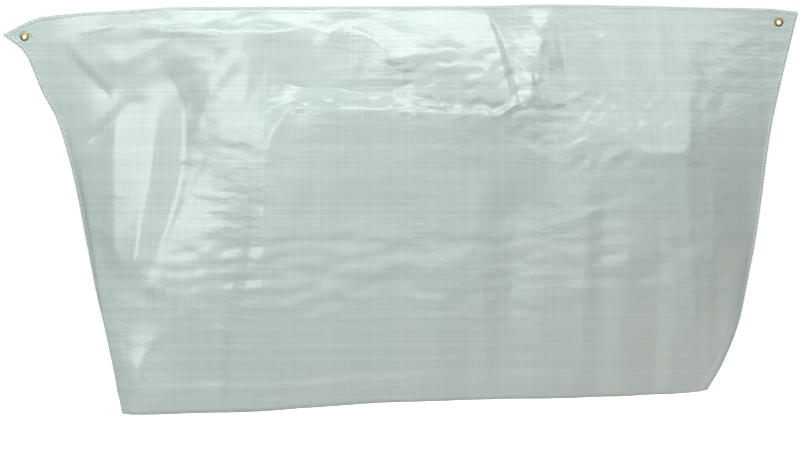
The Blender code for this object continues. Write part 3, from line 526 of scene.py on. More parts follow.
# Patches of crumpled cloth, in metres and degrees: flat facets of about long x short, turned by an angle,
# with their corners up or down by the height.
Crumple = namedtuple("Crumple", "where x z reach_x reach_z long short angle height")
CRUMPLE_EDGE = 0.5         # beyond its reach a patch fades out over this share of it
CRUMPLE_ROOM = 0.020       # cloth that stands off the seam plane by less is crumpled less
CRUMPLE_DIP = 0.7          # share of its height off the seam plane that a crumple may take
FACET_JITTER = 0.42        # how far a facet's corner may lie from its even place
FRONT_CRUMPLES = [
    Crumple("the whole sheet", 0.00, -0.52, 1.30, 0.75, 0.260, 0.120, 80, 0.0036),
    Crumple("under the seam, left", -0.58, -0.03, 0.34, 0.030, 0.060, 0.026, 25, 0.0029),
    Crumple("under the seam, middle", -0.02, -0.05, 0.36, 0.050, 0.070, 0.030, -25, 0.0031),
    Crumple("under the seam, right", 0.62, -0.08, 0.26, 0.10, 0.075, 0.034, -60, 0.0031),
    Crumple("upright band", -0.20, -0.14, 0.60, 0.08, 0.160, 0.070, 5, 0.0034),
    Crumple("bend right of the middle", 0.05, -0.262, 0.30, 0.018, 0.028, 0.016, 10, 0.0048),
    Crumple("right crest", 0.345, -0.14, 0.04, 0.12, 0.045, 0.016, -72, 0.0026),
    Crumple("left corner", -0.84, -0.08, 0.15, 0.09, 0.080, 0.034, -35, 0.0008),
    Crumple("right corner", 0.86, -0.09, 0.16, 0.09, 0.080, 0.034, -50, 0.0026),
    Crumple("left of the middle", -0.42, -0.24, 0.12, 0.10, 0.060, 0.028, 75, 0.0027),
    Crumple("left foot", -0.62, -0.82, 0.17, 0.22, 0.120, 0.050, 75, 0.0022),
    Crumple("ripples left of the middle", -0.46, -0.53, 0.11, 0.19, 0.070, 0.016, -4, 0.0015),
    Crumple("ripples in the middle", 0.20, -0.70, 0.72, 0.085, 0.060, 0.020, 6, 0.0042),
    Crumple("shiny bend", 0.50, -0.31, 0.18, 0.09, 0.040, 0.020, 35, 0.0034),
    Crumple("right of the shiny bend", 0.66, -0.30, 0.14, 0.14, 0.090, 0.040, 70, 0.0037),
    Crumple("upright folds", 0.14, -0.80, 0.62, 0.26, 0.420, 0.070, 87, 0.0100),
    Crumple("lower right", 0.55, -0.64, 0.26, 0.12, 0.090, 0.028, 15, 0.0032),
    Crumple("over the middle", -0.05, -0.42, 0.42, 0.16, 0.240, 0.085, 75, 0.0035),
    Crumple("slope right of the middle", 0.17, -0.20, 0.15, 0.09, 0.030, 0.018, 20, 0.0036),
]


def facet_heights(x, z, crumple, seed):
    """Heights from -1 to 1 of a crumpled patch: scattered points joined by flat triangles."""
    turn = math.radians(crumple.angle)
    across = (x * math.cos(turn) + z * math.sin(turn)) / crumple.long
    along = (z * math.cos(turn) - x * math.sin(turn)) / crumple.short
    random = np.random.default_rng(seed)
    columns = np.arange(math.floor(across.min()) - 1, math.ceil(across.max()) + 2)
    rows = np.arange(math.floor(along.min()) - 1, math.ceil(along.max()) + 2)
    spots = np.stack(np.meshgrid(columns, rows), axis=-1).reshape(-1, 2)
    spots = spots + random.uniform(-FACET_JITTER, FACET_JITTER, spots.shape)
    heights = random.uniform(-1, 1, len(spots))
    corners, _, triangles, *_ = delaunay_2d_cdt([Vector(p) for p in spots], [], [], 0, 1e-6)
    order = [int(np.argmin(np.hypot(*(spots - (c.x, c.y)).T))) for c in corners]
    tree = BVHTree.FromPolygons([(c.x, c.y, heights[k]) for c, k in zip(corners, order)], triangles)
    down = Vector((0, 0, -1))
    hits = [tree.ray_cast(Vector((a, b, 2)), down)[0] for a, b in zip(across, along)]
    return np.array([hit.z if hit else 0.0 for hit in hits])


def crumple_heights(crumples, x, z, first_seed):
    """Sum of the crumpled patches at each point of a grid of points."""
    total = np.zeros_like(x)
    for number, crumple in enumerate(crumples):
        away = np.hypot((x - crumple.x) / crumple.reach_x, (z - crumple.z) / crumple.reach_z)
        share = ease((1 + CRUMPLE_EDGE - away) / CRUMPLE_EDGE)
        inside = share > 0
        facets = facet_heights(x[inside], z[inside], crumple, first_seed + number)
        total[inside] += crumple.height * share[inside] * facets
    return total


def flat_places(skin, x, z):
    """Where each point of the face lies on the flat cut, which is longer by what the skin's folds take up.
    It is evened out over the sheet, so that the tapes of the cloth run straight."""
    rows, columns = skin.shape
    taken_down, taken_across = np.gradient(skin, SKIN_CELL)
    down = np.cumsum(np.hypot(1, taken_down).mean(axis=1)) * SKIN_CELL
    across = np.cumsum(np.hypot(1, taken_across).mean(axis=0)) * SKIN_CELL
    return np.stack([np.interp(x, SKIN_LEFT + SKIN_CELL * np.arange(columns), across - across[-1] / 2),
                     np.interp(SKIN_TOP - z, SKIN_CELL * np.arange(rows), -down)], axis=2)


def layers_inside(in_hem):
    """Layers of cloth from the middle of the outer one to the sheet's inner face, for each row."""
    return np.where(in_hem, 1.5, 0.5)[:, None]


def sheet_grid(side, bands, band_rows, columns, creases, crumples, first_seed):
    """Middle surface of a sheet as rows of points with its flange, where each point is on the flat cut, and
    which rows are in the hem."""
    skin = stretched_skin(creases)
    across = 0.5 - 0.5 * np.cos(np.linspace(0, math.pi, DENSE))   # denser at the rounded ends
    ends = [np.zeros(DENSE)] + band_ends(bands, across)
    downs, in_hem = [ends[0]], [False]
    for k, rows in enumerate(band_rows):
        if k == HEM_BAND:
            downs.append(ends[k] + HEM_STEP / DROP_HEIGHT)
            in_hem.append(True)
        downs += [ends[k] + (ends[k + 1] - ends[k]) * s for s in np.linspace(0, 1, rows + 1)[1:]]
        in_hem += [k == HEM_BAND] * rows
    grid = []
    for down in downs:
        face = face_points(across, down)
        x, z = face[:, 0], face[:, 1]
        height = np.maximum(read_grid(skin, (SKIN_TOP - z) / SKIN_CELL, (x - SKIN_LEFT) / SKIN_CELL), 0)
        height *= ease(np.minimum(x - x[0], x[-1] - x) / SEAM_ROLL)
        swung = swing(x, z)
        curve = np.stack([x, swung + side * height, z], axis=1)
        step = np.linalg.norm(np.diff(curve, axis=0), axis=1)
        step *= 1 + FINE_GAIN * ease(1 - np.abs(x[1:] - FINE_AT) / FINE_REACH)
        length = np.concatenate([[0], np.cumsum(step)])
        at = np.linspace(0, length[-1], columns + 1)
        grid.append(np.stack([np.interp(at, length, values) for values in (x, swung, z, height)], axis=1))
    x, swung, z, height = np.moveaxis(np.array(grid), 2, 0)
    cut = flat_places(skin, x, z)
    crumpled = crumple_heights(crumples, x, z, first_seed) * ease(height / CRUMPLE_ROOM)
    # At the seams the sheets lie one on the other, and away from them each keeps to the middle of its solid.
    off = GAP / 2 + layers_inside(in_hem) * (SHEET + (SOLID_SHEET - SHEET) * ease(height / CRUMPLE_ROOM))
    off += height + np.maximum(crumpled, -CRUMPLE_DIP * height)
    points = np.stack([x, swung + side * off, z], axis=2)
    # The flange goes on outwards from each seam, in the plane in which the two sheets are pressed together.
    for width in [FLANGE / FLANGE_CELLS] * FLANGE_CELLS:
        aside, up = (width, 0, 0), (0, 0, width)
        points = np.concatenate([points[:, :1] - aside, points, points[:, -1:] + aside], axis=1)
        cut = np.concatenate([cut[:, :1] - aside[:2], cut, cut[:, -1:] + aside[:2]], axis=1)
        points = np.concatenate([points[:1] + up, points], axis=0)
        cut = np.concatenate([cut[:1] + up[1:], cut], axis=0)
        in_hem = [False] + in_hem
    return points, cut, in_hem


def outward(points, side):
    """Unit normals of a sheet's grid of points, towards its outer face."""
    normals = np.cross(np.gradient(points, axis=1), np.gradient(points, axis=0))
    normals /= np.linalg.norm(normals, axis=2, keepdims=True)
    return normals * side * np.sign(normals[..., 1].mean())


def eyelet_cells(points, centre, radius):
    """Opens a round hole: the cells to leave out, after moving the points round them onto a circle."""
    flat = points[..., (0, 2)]
    middles = (flat[:-1, :-1] + flat[1:, 1:]) / 2
    away = np.linalg.norm(middles - centre, axis=2)
    j, i = np.unravel_index(np.argmin(away), away.shape)
    block = [(a, b) for a in range(j - 1, j + 3) for b in range(i - 1, i + 3)]
    border = [(a, b) for a, b in block if a in (j - 1, j + 2) or b in (i - 1, i + 2)]
    for a, b in border:
        out = flat[a, b] - centre
        out *= radius / np.linalg.norm(out)
        points[a, b, 0], points[a, b, 2] = centre + out
    return slice(j - 1, j + 2), slice(i - 1, i + 2)


def add_sheet(name, side, grid, holes, material):
    """A closed thin sheet over a grid of points, two layers thick in its hem. Its UV map is the flat cut."""
    points, cut, in_hem = grid
    kept = np.ones((points.shape[0] - 1, points.shape[1] - 1), bool)
    for centre, radius in holes:
        kept[eyelet_cells(points, np.array(centre), radius)] = False
    normals = outward(points, side)
    rows, columns = points.shape[:2]
    count = rows * columns
    outer_face = points + normals * SHEET / 2
    inner_face = points - normals * (layers_inside(in_hem)[..., None] * SHEET)
    vertices = np.concatenate([outer_face.reshape(-1, 3), inner_face.reshape(-1, 3)])
    faces = []
    for j, i in zip(*np.nonzero(kept)):
        a, b = j * columns + i, j * columns + i + 1
        c, d = (j + 1) * columns + i + 1, (j + 1) * columns + i
        faces.append((a, d, c, b))
        faces.append((a + count, b + count, c + count, d + count))
        sides = ((j - 1, i, a, b), (j, i + 1, b, c), (j + 1, i, c, d), (j, i - 1, d, a))
        for near_j, near_i, start, end in sides:
            if not (0 <= near_j < rows - 1 and 0 <= near_i < columns - 1) or not kept[near_j, near_i]:
                faces.append((start, end, end + count, start + count))
    if side == BACK:
        faces = [f[::-1] for f in faces]
    used = np.unique(np.concatenate([np.array(f) for f in faces]))
    new_index = np.zeros(2 * count, int)
    new_index[used] = np.arange(len(used))
    piece = new_piece(name, vertices[used], [tuple(new_index[list(f)].tolist()) for f in faces], material)
    flat = np.concatenate([cut.reshape(-1, 2)] * 2)[used]
    layer = piece.data.uv_layers.new(name="cut")
    corners = np.zeros(len(piece.data.loops), int)
    piece.data.loops.foreach_get("vertex_index", corners)
    layer.data.foreach_set("uv", flat[corners].ravel())
    piece.data.shade_smooth()
    return piece


TAPE_WIDTH = 0.0064
WARP_SHADE, WEFT_SHADE = 0.3, 0.7           # how much each way of tapes shows in the shade
GAP_START, GAP_STEEPNESS = 0.36, 7.0        # how far from its middle, in widths, a tape thins, and how fast
CROWN_FLATNESS = 4.0                        # a higher power makes the middle of a tape flatter
TAPE_DARK, TAPE_LIGHT = (0.507, 0.592, 0.548, 1), (0.606, 0.689, 0.645, 1)
# Of the next two colours, the second is painted shade for the lower right corner, greyer and warmer where
# less light falls.
GREY_TAPE, SHADED_CORNER_TONE = (0.600, 0.600, 0.600, 1), (0.592, 0.582, 0.548, 1)
BLOTCH, TAPE_GAP = (0.532, 0.624, 0.585, 1), (0.40, 0.48, 0.45, 1)
CRINKLES = ((26.0, 0.055), (70.0, 0.060))   # cells to a metre and how steep they are


def tape_weave_group():
    """Woven flat tapes under a coating: from the place on the cut, their shade, tint, gaps and height."""
    group = bpy.data.node_groups.new("tape_weave", "ShaderNodeTree")
    sockets = group.interface
    sockets.new_socket("Place", in_out="INPUT", socket_type="NodeSocketVector")
    pitch = sockets.new_socket("Tape Width", in_out="INPUT", socket_type="NodeSocketFloat")
    pitch.default_value = TAPE_WIDTH
    for name in ("Shade", "Tint", "Gap", "Height"):
        sockets.new_socket(name, in_out="OUTPUT", socket_type="NodeSocketFloat")
    nodes, links = group.nodes, group.links
    given, result = nodes.new("NodeGroupInput"), nodes.new("NodeGroupOutput")

    def maths(kind, *values, clamp=False):
        node = nodes.new("ShaderNodeMath")
        node.operation, node.use_clamp = kind, clamp
        for socket, value in zip(node.inputs, values):
            if hasattr(value, "links"):
                links.new(value, socket)
            else:
                socket.default_value = value
        return node.outputs[0]

    axes = nodes.new("ShaderNodeSeparateXYZ")
    links.new(given.outputs["Place"], axes.inputs[0])
    shades, gaps, crowns, tints, numbers = [], [], [], [], []
    for axis, offset in (("X", 0.0), ("Y", 500.0)):     # the offset keeps their random shades apart
        count = maths("DIVIDE", axes.outputs[axis], given.outputs["Tape Width"])
        number = maths("FLOOR", count)
        within = maths("SUBTRACT", count, number)
        middle = maths("ABSOLUTE", maths("SUBTRACT", within, 0.5))
        noise = nodes.new("ShaderNodeTexWhiteNoise")
        noise.noise_dimensions = "1D"
        links.new(maths("ADD", number, offset), noise.inputs["W"])
        colour = nodes.new("ShaderNodeSeparateColor")
        links.new(noise.outputs["Color"], colour.inputs[0])
        shades.append(colour.outputs["Red"])
        tints.append(colour.outputs["Green"])
        thin = maths("SUBTRACT", middle, GAP_START, clamp=True)
        gaps.append(maths("MULTIPLY", thin, GAP_STEEPNESS, clamp=True))
        fall = maths("POWER", maths("MULTIPLY", middle, 2.0), CROWN_FLATNESS)
        crowns.append(maths("SUBTRACT", 1.0, fall))
        numbers.append(number)
    over = maths("PINGPONG", maths("ADD", numbers[0], numbers[1]), 1.0)
    under = maths("SUBTRACT", 1.0, over)

    def woven(pair):
        return maths("ADD", maths("MULTIPLY", pair[0], over), maths("MULTIPLY", pair[1], under))

    shade = maths("ADD", maths("MULTIPLY", shades[0], WARP_SHADE), maths("MULTIPLY", shades[1], WEFT_SHADE))
    links.new(shade, result.inputs["Shade"])
    links.new(maths("MULTIPLY", maths("ADD", tints[0], tints[1]), 0.5), result.inputs["Tint"])
    links.new(maths("MAXIMUM", gaps[0], gaps[1]), result.inputs["Gap"])
    links.new(woven(crowns), result.inputs["Height"])
    return group


cloth, shader, nodes, links = new_material("coated_weave", 0.30)
place = nodes.new("ShaderNodeUVMap")
place.uv_map = "cut"
tapes = nodes.new("ShaderNodeGroup")
tapes.node_tree = tape_weave_group()
links.new(place.outputs["UV"], tapes.inputs["Place"])


def noise_on_cut(scale, detail):
    """Noise over the flat cut."""
    node = nodes.new("ShaderNodeTexNoise")
    node.inputs["Scale"].default_value = scale
    node.inputs["Detail"].default_value = detail
    links.new(place.outputs["UV"], node.inputs["Vector"])
    return node.outputs["Fac"]


def on_cut(kind, vector):
    """Results of a vector operation between the place on the flat cut and a vector."""
    node = nodes.new("ShaderNodeVectorMath")
    node.operation = kind
    node.inputs[1].default_value = vector
    links.new(place.outputs["UV"], node.inputs[0])
    return node.outputs


def mixed_colour(share, low, high):
    """A colour mix in the tree at hand, from sockets or plain colours."""
    node = nodes.new("ShaderNodeMix")
    node.data_type = "RGBA"
    for socket, value in ((node.inputs["Factor"], share), (node.inputs["A"], low), (node.inputs["B"], high)):
        if hasattr(value, "links"):
            links.new(value, socket)
        else:
            socket.default_value = value
    return node.outputs["Result"]


def ranged(value, low, high, to_low, to_high):
    """A value moved from one range to another, and held to it."""
    node = nodes.new("ShaderNodeMapRange")
    links.new(value, node.inputs["Value"])
    for name, number in (("From Min", low), ("From Max", high), ("To Min", to_low), ("To Max", to_high)):
        node.inputs[name].default_value = number
    return node.outputs["Result"]


# The tapes differ a little in tone. Painted shade: the cloth is painted greyer and warmer towards its lower
# right corner, where the light falls dimmer and warmer.
blotches = noise_on_cut(7.0, 3.0)
lower_right_shade = on_cut("DOT_PRODUCT", (0.30, -0.80, 0.0))["Value"]
tone = mixed_colour(tapes.outputs["Shade"], TAPE_DARK, TAPE_LIGHT)
tone = mixed_colour(ranged(tapes.outputs["Tint"], 0.2, 0.8, 0.0, 0.15), tone, GREY_TAPE)
tone = mixed_colour(ranged(lower_right_shade, 0.45, 0.95, 0.0, 0.50), tone, SHADED_CORNER_TONE)
tone = mixed_colour(ranged(blotches, 0.35, 0.65, 0.0, 0.25), tone, BLOTCH)
tone = mixed_colour(ranged(tapes.outputs["Gap"], 0.0, 1.0, 0.0, 0.22), tone, TAPE_GAP)
links.new(tone, shader.inputs["Base Color"])
links.new(ranged(blotches, 0.3, 0.7, 0.20, 0.27), shader.inputs["Roughness"])
shader.inputs["Coat Weight"].default_value = 0.5
shader.inputs["Coat Roughness"].default_value = 0.20

# Crinkles of the coating that are too fine for the mesh: cells of two sizes, like small facets. They come
# and go over the sheet, and near its upper left corner the cloth is smoother.
crushed = nodes.new("ShaderNodeMath")
crushed.operation = "MULTIPLY"
links.new(ranged(noise_on_cut(3.2, 1.0), 0.42, 0.62, 0.25, 1.0), crushed.inputs[0])
from_smooth_part = on_cut("DISTANCE", (-0.78, -0.20, 0.0))["Value"]
links.new(ranged(from_smooth_part, 0.16, 0.34, 0.15, 1.0), crushed.inputs[1])
stretched = on_cut("MULTIPLY", (0.5, 1.2, 1.0))["Vector"]
bent = None
for cells, steepness in CRINKLES:
    facets = nodes.new("ShaderNodeTexVoronoi")
    facets.voronoi_dimensions = "2D"
    facets.inputs["Scale"].default_value = cells
    links.new(stretched, facets.inputs["Vector"])
    crinkle = nodes.new("ShaderNodeBump")
    crinkle.inputs["Distance"].default_value = steepness / cells
    links.new(crushed.outputs[0], crinkle.inputs["Strength"])
    links.new(facets.outputs["Distance"], crinkle.inputs["Height"])
    if bent is not None:
        links.new(bent, crinkle.inputs["Normal"])
    bent = crinkle.outputs["Normal"]
grain = nodes.new("ShaderNodeBump")
grain.inputs["Strength"].default_value = 0.5
grain.inputs["Distance"].default_value = 0.0004
links.new(tapes.outputs["Height"], grain.inputs["Height"])
links.new(bent, grain.inputs["Normal"])
links.new(grain.outputs["Normal"], shader.inputs["Normal"])

EYELET_CENTRES = {"left": (-0.9936, -0.0687), "right": (1.0024, -0.0306)}     # x and z
CLOTH_HOLE = 0.0072        # radius of the hole that each eyelet is pressed through
FRONT_SEED, BACK_SEED = 100, 200           # of the crumples' random facets
holes = [(centre, CLOTH_HOLE) for centre in EYELET_CENTRES.values()]
front_grid = sheet_grid(FRONT, FRONT_BANDS, FRONT_ROWS, FRONT_COLUMNS, FRONT_CREASES, FRONT_CRUMPLES,
                        FRONT_SEED)
front_sheet = add_sheet("front_sheet", FRONT, front_grid, holes, cloth)
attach(front_sheet, "root")
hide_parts("panel_front", "corner_left", "corner_right")

# ---------------------------------------------------------------- back sheet
# The same cut as the front sheet, on the far side, hemmed and sewn in the same way. It hangs more evenly,
# because nothing stands out there.
BACK_BANDS = [band._replace(guide=None) for band in FRONT_BANDS]
BACK_ROWS = (12, 12, 20, 36, 14, 10, 8)
BACK_COLUMNS = 300
BACK_CREASES = [
    Crease("lower edge of the shelf under the seam", FIRM,
        [(-930, -150, 0), (-850, -90, 1), (-720, -50, 10), (-560, -64, 44), (-430, -90, 66),
         (-300, -66, 48), (-100, -70, 50), (120, -90, 62), (300, -130, 84), (400, -80, 44),
         (600, -60, 22), (840, -60, 8), (966, -80, 0)]),
    Crease("foot of the upright band", FIRM,
        [(-960, -200, 0), (-860, -190, 6), (-700, -210, 40), (-540, -160, 66), (-420, -150, 84),
         (-280, -190, 66), (-100, -216, 64), (120, -232, 78), (320, -226, 96), (440, -160, 56),
         (620, -140, 42), (800, -160, 28), (960, -190, 4)]),
    Crease("edge where the slope turns upright", FIRM,
        [(-930, -300, 6), (-820, -420, 60), (-680, -460, 106), (-520, -380, 112), (-360, -300, 112),
         (-200, -276, 112), (60, -282, 114), (240, -290, 116), (380, -360, 114), (600, -384, 118),
         (740, -380, 108), (860, -420, 60), (976, -480, 8)]),
    Crease("middle of the upper side", LOOSE,
        [(-840, -700, 70), (-720, -700, 124), (-500, -660, 138), (-200, -620, 128), (200, -620, 126),
         (500, -640, 118), (740, -640, 98), (880, -640, 58), (960, -640, 16)]),
    Crease("middle of the lower side", LOOSE,
        [(-780, -860, 90), (-650, -860, 136), (-400, -850, 142), (0, -830, 132), (400, -820, 122),
         (740, -820, 86), (860, -820, 50)]),
    Crease("hem line", LOOSE,
        [(-735, -968, 90), (-600, -966, 140), (-292, -962, 140), (-38, -944, 134), (254, -940, 126),
         (511, -937, 112), (774, -934, 76)]),
    Crease("hem", LOOSE,
        [(-700, -1036, 96), (-560, -1038, 144), (-373, -1033, 140), (-20, -1014, 134), (252, -1010, 122),
         (497, -1008, 108), (796, -1004, 60)]),
    Crease("long ridge", FIRM,
        [(-430, -150, 99), (-490, -240, 102), (-540, -380, 125), (-580, -560, 127), (-610, -720, 125)]),
    Crease("valley right of the left crest", LOOSE,
        [(-610, -150, 33), (-640, -320, 61), (-660, -560, 84)]),
    Crease("pleat under the seam", FIRM,
        [(-390, -170, 70), (-360, -260, 89), (-330, -380, 111)]),
    Crease("crest left of the middle", FIRM,
        [(-270, -270, 117), (-310, -360, 127), (-320, -560, 131)]),
    Crease("tuck right of the middle", FIRM,
        [(150, -40, 13), (190, -130, 60), (220, -270, 101)]),
    Crease("right crest", FIRM,
        [(360, -20, 30), (350, -130, 85), (370, -330, 117)]),
    Crease("crest down from the right corner", FIRM,
        [(850, -110, 28), (770, -200, 53), (740, -380, 113)]),
    Crease("upright trough", FIRM,
        [(40, -320, 108), (60, -560, 117), (30, -960, 129)]),
    Crease("curved trough at the foot", FIRM,
        [(-540, -720, 115), (-630, -800, 97), (-680, -950, 68)]),
]
BACK_CRUMPLES = [
    Crumple("the whole sheet", 0.00, -0.52, 1.30, 0.75, 0.260, 0.140, 78, 0.0042),
    Crumple("under the seam, left", -0.55, -0.10, 0.36, 0.10, 0.080, 0.036, 20, 0.0034),
    Crumple("under the seam, right", 0.55, -0.10, 0.40, 0.12, 0.080, 0.036, -50, 0.0034),
    Crumple("middle", 0.00, -0.25, 0.60, 0.10, 0.100, 0.045, -10, 0.0038),
    Crumple("left foot", -0.55, -0.80, 0.25, 0.22, 0.140, 0.060, 75, 0.0026),
    Crumple("upright folds", 0.20, -0.72, 0.75, 0.33, 0.420, 0.080, 86, 0.0075),
]
back_grid = sheet_grid(BACK, BACK_BANDS, BACK_ROWS, BACK_COLUMNS, BACK_CREASES, BACK_CRUMPLES,
                       BACK_SEED)
back_sheet = add_sheet("back_sheet", BACK, back_grid, holes, cloth)
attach(back_sheet, "root")
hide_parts("panel_back")

# ---------------------------------------------------------------- edge stitching
# Overlock stitching of white polyester thread along the top and both side edges. Each stitch runs from its
# needle hole on the front, over the edges of both sheets, to the needle hole on the back.
STITCH_PITCH = 0.0085
STITCH_DEPTH = 0.0056      # from the edge in to the needle holes
FRONT_NEEDLE_DROP, BACK_NEEDLE_DROP = 0.0004, 0.0012  # the needle threads lie this far below the holes
THREAD = 0.0010            # radius of the thread
THREAD_SIDES = 5
THREAD_FACE = GAP / 2 + SHEET + THREAD    # from the seam plane to a thread that lies on a sheet's outer face
THREAD_OVER = THREAD * 1.6                # from the edge up to a thread that goes over it
ASKEW = (0.31, 0.22, 0.93)                # a direction that no thread follows
RIM_POINTS = 600                          # points along each side of the edge


def even_points(line):
    """Points evenly spaced along a line of points."""
    length = lengths_along(line)
    at = np.linspace(0, 1, RIM_POINTS) * length[-1]
    return np.stack([np.interp(at, length, line[:, k]) for k in range(3)], axis=1)


def thread_tube(paths, radius, name, material):
    """A mesh of closed tubes along paths of points, for one stitch."""
    vertices, faces = [], []
    for path in paths:
        path, start = np.array(path), len(vertices)
        along = np.gradient(path, axis=0)
        along /= np.linalg.norm(along, axis=1, keepdims=True)
        first = np.cross(along, ASKEW)
        first /= np.linalg.norm(first, axis=1, keepdims=True)
        second = np.cross(along, first)
        for centre, a, b in zip(path, first, second):
            for turned in np.linspace(0, 2 * math.pi, THREAD_SIDES, endpoint=False):
                vertices.append(centre + radius * (math.cos(turned) * a + math.sin(turned) * b))
        for ring in range(len(path) - 1):
            for k in range(THREAD_SIDES):
                near, far = start + ring * THREAD_SIDES, start + (ring + 1) * THREAD_SIDES
                after = (k + 1) % THREAD_SIDES
                faces.append((near + k, near + after, far + after, far + k))
        last = start + (len(path) - 1) * THREAD_SIDES
        faces.append(tuple(range(start + THREAD_SIDES - 1, start - 1, -1)))
        faces.append(tuple(range(last, last + THREAD_SIDES)))
    return new_piece(name, vertices, faces, material)


def stitch_group():
    """Repeats a stitch along a line, each turned to the line's direction."""
    group = bpy.data.node_groups.new("stitches_along_a_line", "GeometryNodeTree")
    sockets = group.interface
    sockets.new_socket("Line", in_out="INPUT", socket_type="NodeSocketGeometry")
    sockets.new_socket("Stitch", in_out="INPUT", socket_type="NodeSocketObject")
    pitch = sockets.new_socket("Pitch", in_out="INPUT", socket_type="NodeSocketFloat")
    pitch.default_value = STITCH_PITCH
    sockets.new_socket("Thread", in_out="INPUT", socket_type="NodeSocketMaterial")
    sockets.new_socket("Stitches", in_out="OUTPUT", socket_type="NodeSocketGeometry")
    nodes, links = group.nodes, group.links
    given, result = nodes.new("NodeGroupInput"), nodes.new("NodeGroupOutput")
    curve, even = nodes.new("GeometryNodeMeshToCurve"), nodes.new("GeometryNodeResampleCurve")
    source, copies = nodes.new("GeometryNodeObjectInfo"), nodes.new("GeometryNodeInstanceOnPoints")
    tangent, turned = nodes.new("GeometryNodeInputTangent"), nodes.new("FunctionNodeAlignRotationToVector")
    real, dyed = nodes.new("GeometryNodeRealizeInstances"), nodes.new("GeometryNodeSetMaterial")
    even.mode = "LENGTH"
    turned.axis = "X"
    for start, result_of_start, end, input_of_end in (
            (given, "Line", curve, "Mesh"), (curve, "Curve", even, "Curve"), (given, "Pitch", even, "Length"),
            (given, "Stitch", source, "Object"), (even, "Curve", copies, "Points"),
            (source, "Geometry", copies, "Instance"), (tangent, "Tangent", turned, "Vector"),
            (turned, "Rotation", copies, "Rotation"), (copies, "Instances", real, "Geometry"),
            (real, "Geometry", dyed, "Geometry"), (given, "Thread", dyed, "Material"),
            (dyed, "Geometry", result, "Stitches")):
        links.new(start.outputs[result_of_start], end.inputs[input_of_end])
    return group


def add_stitches(name, lines, stitch, pitch, thread):
    """A row of stitches along each line of points, as one piece."""
    points = np.concatenate(lines)
    ends = np.cumsum([len(line) for line in lines])
    edges = [(k, k + 1) for k in range(len(points) - 1) if k + 1 not in ends]
    mesh = bpy.data.meshes.new(f"{name}_line")
    mesh.from_pydata(points.tolist(), edges, [])
    carrier = bpy.data.objects.new(f"{name}_line", mesh)
    scene.collection.objects.link(carrier)
    modifier = carrier.modifiers.new("stitches", "NODES")
    modifier.node_group = stitches
    values = {"Stitch": stitch, "Pitch": pitch, "Thread": thread}
    for item in stitches.interface.items_tree:
        if item.name in values and item.in_out == "INPUT":
            modifier[item.identifier] = values[item.name]
    drawn = carrier.evaluated_get(bpy.context.evaluated_depsgraph_get())
    piece = bpy.data.objects.new(name, bpy.data.meshes.new_from_object(drawn))
    scene.collection.objects.link(piece)
    for spent in (carrier, stitch):
        bpy.data.objects.remove(spent)
    piece.data.shade_smooth()
    return piece


thread, thread_shader, *_ = new_material("white_thread", 0.55)
thread_shader.inputs["Base Color"].default_value = (0.93, 0.95, 0.94, 1.0)
stitches = stitch_group()
# A stitch has x along the edge, y across it from front to back, and z up to the edge and over it.
loop = [(0.0000, -THREAD_FACE, -STITCH_DEPTH), (0.0010, -THREAD_FACE, -STITCH_DEPTH * 0.5),
        (0.0020, -THREAD_FACE, -0.0003), (0.0023, -THREAD_FACE * 0.5, THREAD_OVER),
        (0.0026, THREAD_FACE * 0.5, THREAD_OVER), (0.0029, THREAD_FACE, -0.0003),
        (0.0045, THREAD_FACE, -STITCH_DEPTH * 0.6), (0.0058, THREAD_FACE, -STITCH_DEPTH)]
needles = [[(x, face, -STITCH_DEPTH - drop) for x in (0.0008, 0.0058)]
           for face, drop in ((-THREAD_FACE, FRONT_NEEDLE_DROP), (THREAD_FACE, BACK_NEEDLE_DROP))]
edges = [(points[::-1, 0], points[0], points[:, -1]) for points, *_ in (front_grid, back_grid)]
left, top, right = ((even_points(front) + even_points(back)) / 2 for front, back in zip(*edges))
edge_line = np.concatenate([left[:-1], top, right[1:]])
stitch = thread_tube([loop, *needles], THREAD, "edge_stitch_source", thread)
edge_thread = add_stitches("edge_thread", [edge_line], stitch, STITCH_PITCH, thread)
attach(edge_thread, "root")

# ---------------------------------------------------------------- hem stitching
# One line of lockstitch of thin white thread through the turned-up hem of each sheet, about 10 mm below the
# hem's upper edge. It lies on the outer face and is pulled a little into the cloth.
HEM_PITCH = 0.0060
HEM_STITCH = 0.0044        # the rest of the pitch is where the thread is on the inside
HEM_THREAD = 0.00035       # radius of the thread
HEM_PULLED = 0.9           # height of its middle over the face, in its radii
within = slice(FLANGE_CELLS + 2, -FLANGE_CELLS - 2)     # the columns from one side seam to the other
hem_lines = []
for side, (points, _, in_hem) in ((FRONT, front_grid), (BACK, back_grid)):
    row = in_hem.index(True) + 1
    normals = outward(points, side)
    hem_lines.append(points[row, within] + normals[row, within] * (SHEET / 2 + HEM_THREAD * HEM_PULLED))
stitch = thread_tube([[(x, 0, 0) for x in (0, HEM_STITCH / 2, HEM_STITCH)]], HEM_THREAD, "hem_stitch_source",
                     thread)
hem_thread = add_stitches("hem_thread", hem_lines, stitch, HEM_PITCH, thread)
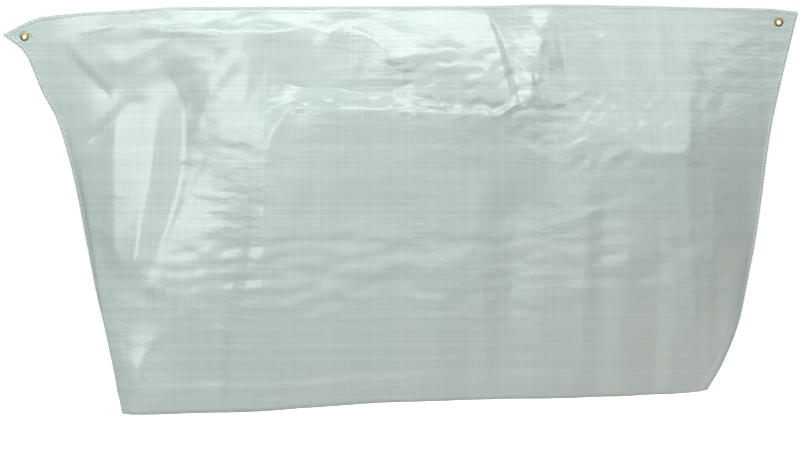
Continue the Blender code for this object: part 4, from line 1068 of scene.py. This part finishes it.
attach(hem_thread, "root")

# ---------------------------------------------------------------- eyelets
# A pressed brass eyelet in each top corner: its rolled flange on the front, its barrel through both sheets
# and its washer on the back.
EYELET_SIDES = 64
# Distance from the axis and along it, in millimetres, from the bore round to the bore again.
EYELET_PROFILE = [
    (6.00, 0.00), (6.00, -1.00), (6.15, -1.70), (6.60, -2.25), (7.30, -2.50), (8.20, -2.40), (9.60, -2.00),
    (11.20, -1.60), (12.20, -1.25), (12.50, -0.85), (12.45, -0.50), (9.00, -0.45), (6.90, -0.45),
    (6.90, 0.45), (9.00, 0.45), (11.90, 0.50), (12.00, 0.80), (11.60, 1.10), (9.60, 1.40), (7.60, 1.80),
    (6.70, 1.70), (6.15, 1.20), (6.00, 0.60),
]
BRASS_DARK, BRASS_LIGHT = (0.20, 0.175, 0.055, 1), (0.44, 0.38, 0.15, 1)
TARNISH_SPOTS = 420.0      # to a metre
brass, brass_shader, nodes, links = new_material("pressed_brass", 0.34, metallic=1.0)
tarnish = nodes.new("ShaderNodeTexNoise")
tarnish.inputs["Scale"].default_value = TARNISH_SPOTS
at = nodes.new("ShaderNodeTexCoord")
links.new(at.outputs["Object"], tarnish.inputs["Vector"])
brass_tone = mixed_colour(tarnish.outputs["Fac"], BRASS_DARK, BRASS_LIGHT)
links.new(brass_tone, brass_shader.inputs["Base Color"])
for where, (x, z) in EYELET_CENTRES.items():
    vertices, faces = [], []
    count = len(EYELET_PROFILE)
    for turned in np.linspace(0, 2 * math.pi, EYELET_SIDES, endpoint=False):
        for out, along in np.array(EYELET_PROFILE) / 1000:
            vertices.append((x + out * math.cos(turned), along, z + out * math.sin(turned)))
    for k in range(EYELET_SIDES):
        this, after = k * count, (k + 1) % EYELET_SIDES * count
        for p in range(count):
            q = (p + 1) % count
            faces.append((this + p, after + p, after + q, this + q))
    eyelet = new_piece(f"eyelet_ring_{where}", vertices, faces, brass)
    eyelet.data.shade_smooth()
    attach(eyelet, "root")
    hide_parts(f"eyelet_{where}")
